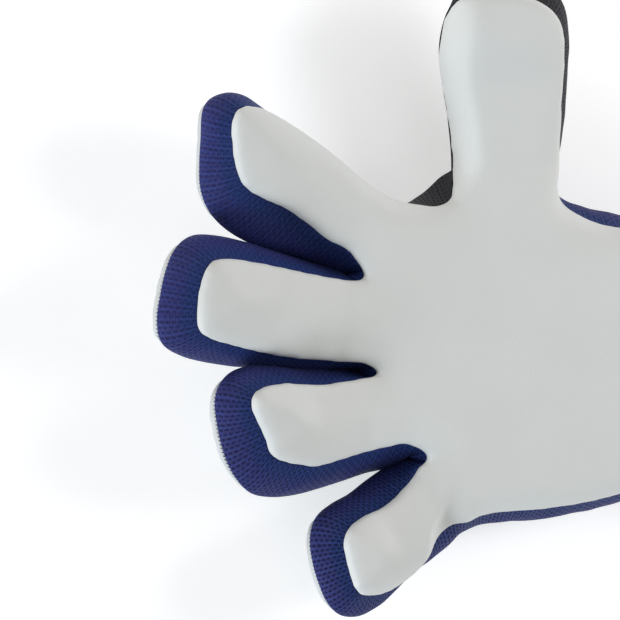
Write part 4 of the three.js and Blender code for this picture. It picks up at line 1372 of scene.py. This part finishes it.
# Pull loop of webbing, which turns about its round end, and its foot on the cuff
loop = {"width": 14, "length": 26, "height": 10, "thick": 1.9, "slack": 0.2, "crown": 0.12, "root": -140,
        "level": 29, "columns": 90, "rows": 16, "clothLength": 63, "bevel": 0.4}


def loopPlace(a, b):
    radius = loop["height"] / 2
    straight = loop["length"] - 2 * radius
    total = 2 * straight + 2 * math.pi * radius
    walked = a * total
    if walked < straight:
        x, z = radius + walked, -radius
    elif walked < straight + math.pi * radius:
        turn = (walked - straight) / radius
        x, z = loop["length"] - radius + radius * math.sin(turn), -radius * math.cos(turn)
    elif walked < 2 * straight + math.pi * radius:
        x, z = loop["length"] - radius - (walked - straight - math.pi * radius), radius
    else:
        turn = (walked - 2 * straight - math.pi * radius) / radius
        x, z = radius - radius * math.sin(turn), radius * math.cos(turn)
    crown = loop["crown"] * ease(min(b, 1 - b), 0, 0.08)
    shrink = 1 - (loop["slack"] - crown) / radius
    middle = loop["length"] / 2
    across = mix(-loop["width"] / 2, loop["width"] / 2, b)
    return (across, loop["root"] - (x - middle) * shrink - middle, loop["level"] + z * shrink)


loopCloth = (loop["clothLength"], loop["width"])
pullLoop = gridPiece("pull_loop_webbing", loop["columns"], loop["rows"], loopCloth, loopPlace)
thickened(pullLoop, loop["thick"] - loop["slack"], loop["bevel"])
dress(pullLoop, "loop", "webbing", "webbing", "pull_loop")
asSheet(pullLoop, loop["width"])

foot = {"from": -139.5, "to": -131.5, "top": 29.9, "drop": 1.1, "thick": 1.8, "dropFrom": 0.3,
        "dropTo": 0.75, "rows": 20, "inAlong": 0.12, "inAcross": 0.1, "stitch": (1.5, 1.2, 0.35),
        "stitchRun": 12}


def footPlace(a, b):
    down = foot["drop"] * ease(a, foot["dropFrom"], foot["dropTo"])
    across = mix(loop["width"] / 2, -loop["width"] / 2, b)
    return (across, mix(foot["from"], foot["to"], a), foot["top"] - down)


footCloth = (foot["to"] - foot["from"], loop["width"])
loopFoot = gridPiece("pull_loop_foot_webbing", foot["rows"], foot["rows"], footCloth, footPlace)
thickened(loopFoot, foot["thick"], loop["bevel"])
dress(loopFoot, "hand", "webbing", "webbing", "pull_loop_foot")
asSheet(loopFoot, loop["width"])


# A sewn line over the foot between two corners
def footLine(start, end):
    places = []
    for k in range(foot["stitchRun"] + 1):
        a, b = (mix(x, y, k / foot["stitchRun"]) for x, y in zip(start, end))
        places.append((Vector(footPlace(a, b)) * mm, Vector((0, 0, 1))))
    return stitchRow(places, *foot["stitch"])


# A box of stitches with a cross in it
lowA, lowB = foot["inAlong"], foot["inAcross"]
highA, highB = 1 - lowA, 1 - lowB
boxed = [(lowA, lowB), (lowA, highB), (highA, highB), (highA, lowB), (lowA, lowB), (highA, highB)]
footRows = []
for lines in (boxed, [(highA, lowB), (lowA, highB)]):
    for start, end in zip(lines, lines[1:]):
        footRows += footLine(start, end)
footStitches = scattered("pull_loop_foot_stitches", footRows, addStitch)
dress(footStitches, "hand", "webbing", "paleThread")
print("pull loop")


# Soft studio lights: cool from the fingertips' side of the little finger, warmer from the thumb's side
def softLight(name, place, target, size, power, colour):
    lamp = bpy.data.lights.new(name, "AREA")
    lamp.shape = "DISK"
    lamp.size = size
    lamp.energy = power
    lamp.color = colour
    holder = bpy.data.objects.new(name, lamp)
    bpy.context.scene.collection.objects.link(holder)
    holder.location = place
    holder.rotation_euler = (Vector(target) - Vector(place)).to_track_quat("-Z", "Y").to_euler()


# Each lamp's name, place and target in metres, size, power and colour
softLight("key", (0.2, -1.0, 0.58), (0, 0.05, 0.03), 0.6, 8, (0.98, 0.98, 1))
softLight("cool", (-0.75, 1.0, 0.36), (-0.02, 0.06, 0.03), 0.5, 11, (0.84, 0.92, 1))
softLight("warm", (0.9, 0.9, 0.5), (0.02, 0.06, 0.03), 0.5, 5.5, (1, 0.96, 0.93))

world = bpy.data.worlds.new("studio")
bpy.context.scene.world = world
world.use_nodes = True
rays = makeNode(world.node_tree, "ShaderNodeLightPath")
skyColour = tinted(rays, (0.31, 0.31, 0.31), (1, 1, 1))
feed(skyColour, world.node_tree.nodes["Background"], "Color")

# A pale floor, white to the camera but for the object's shadow
bm = bmesh.new()
bmesh.ops.create_grid(bm, x_segments=1, y_segments=1, size=3)
floor = fromBmesh("floor", bm)
floorSettings = {"Base_Color": (0.85, 0.85, 0.85, 1), "Roughness": 1, "Emission_Strength": 0.4}
floorMaterial, tree, shader = newMaterial("floor", **floorSettings)
seen = makeNode(tree, "ShaderNodeLightPath", output=0) + makeNode(tree, "ShaderNodeLightPath", output=3)
seen = (seen + makeNode(tree, "ShaderNodeLightPath", output=6)).math("MINIMUM", 1)
feed(tinted(seen, (0, 0, 0), (1, 1, 1)), shader, "Emission Color")
floor.data.materials.append(floorMaterial)

bpy.context.scene.view_settings.view_transform = "Standard"
print("finish")
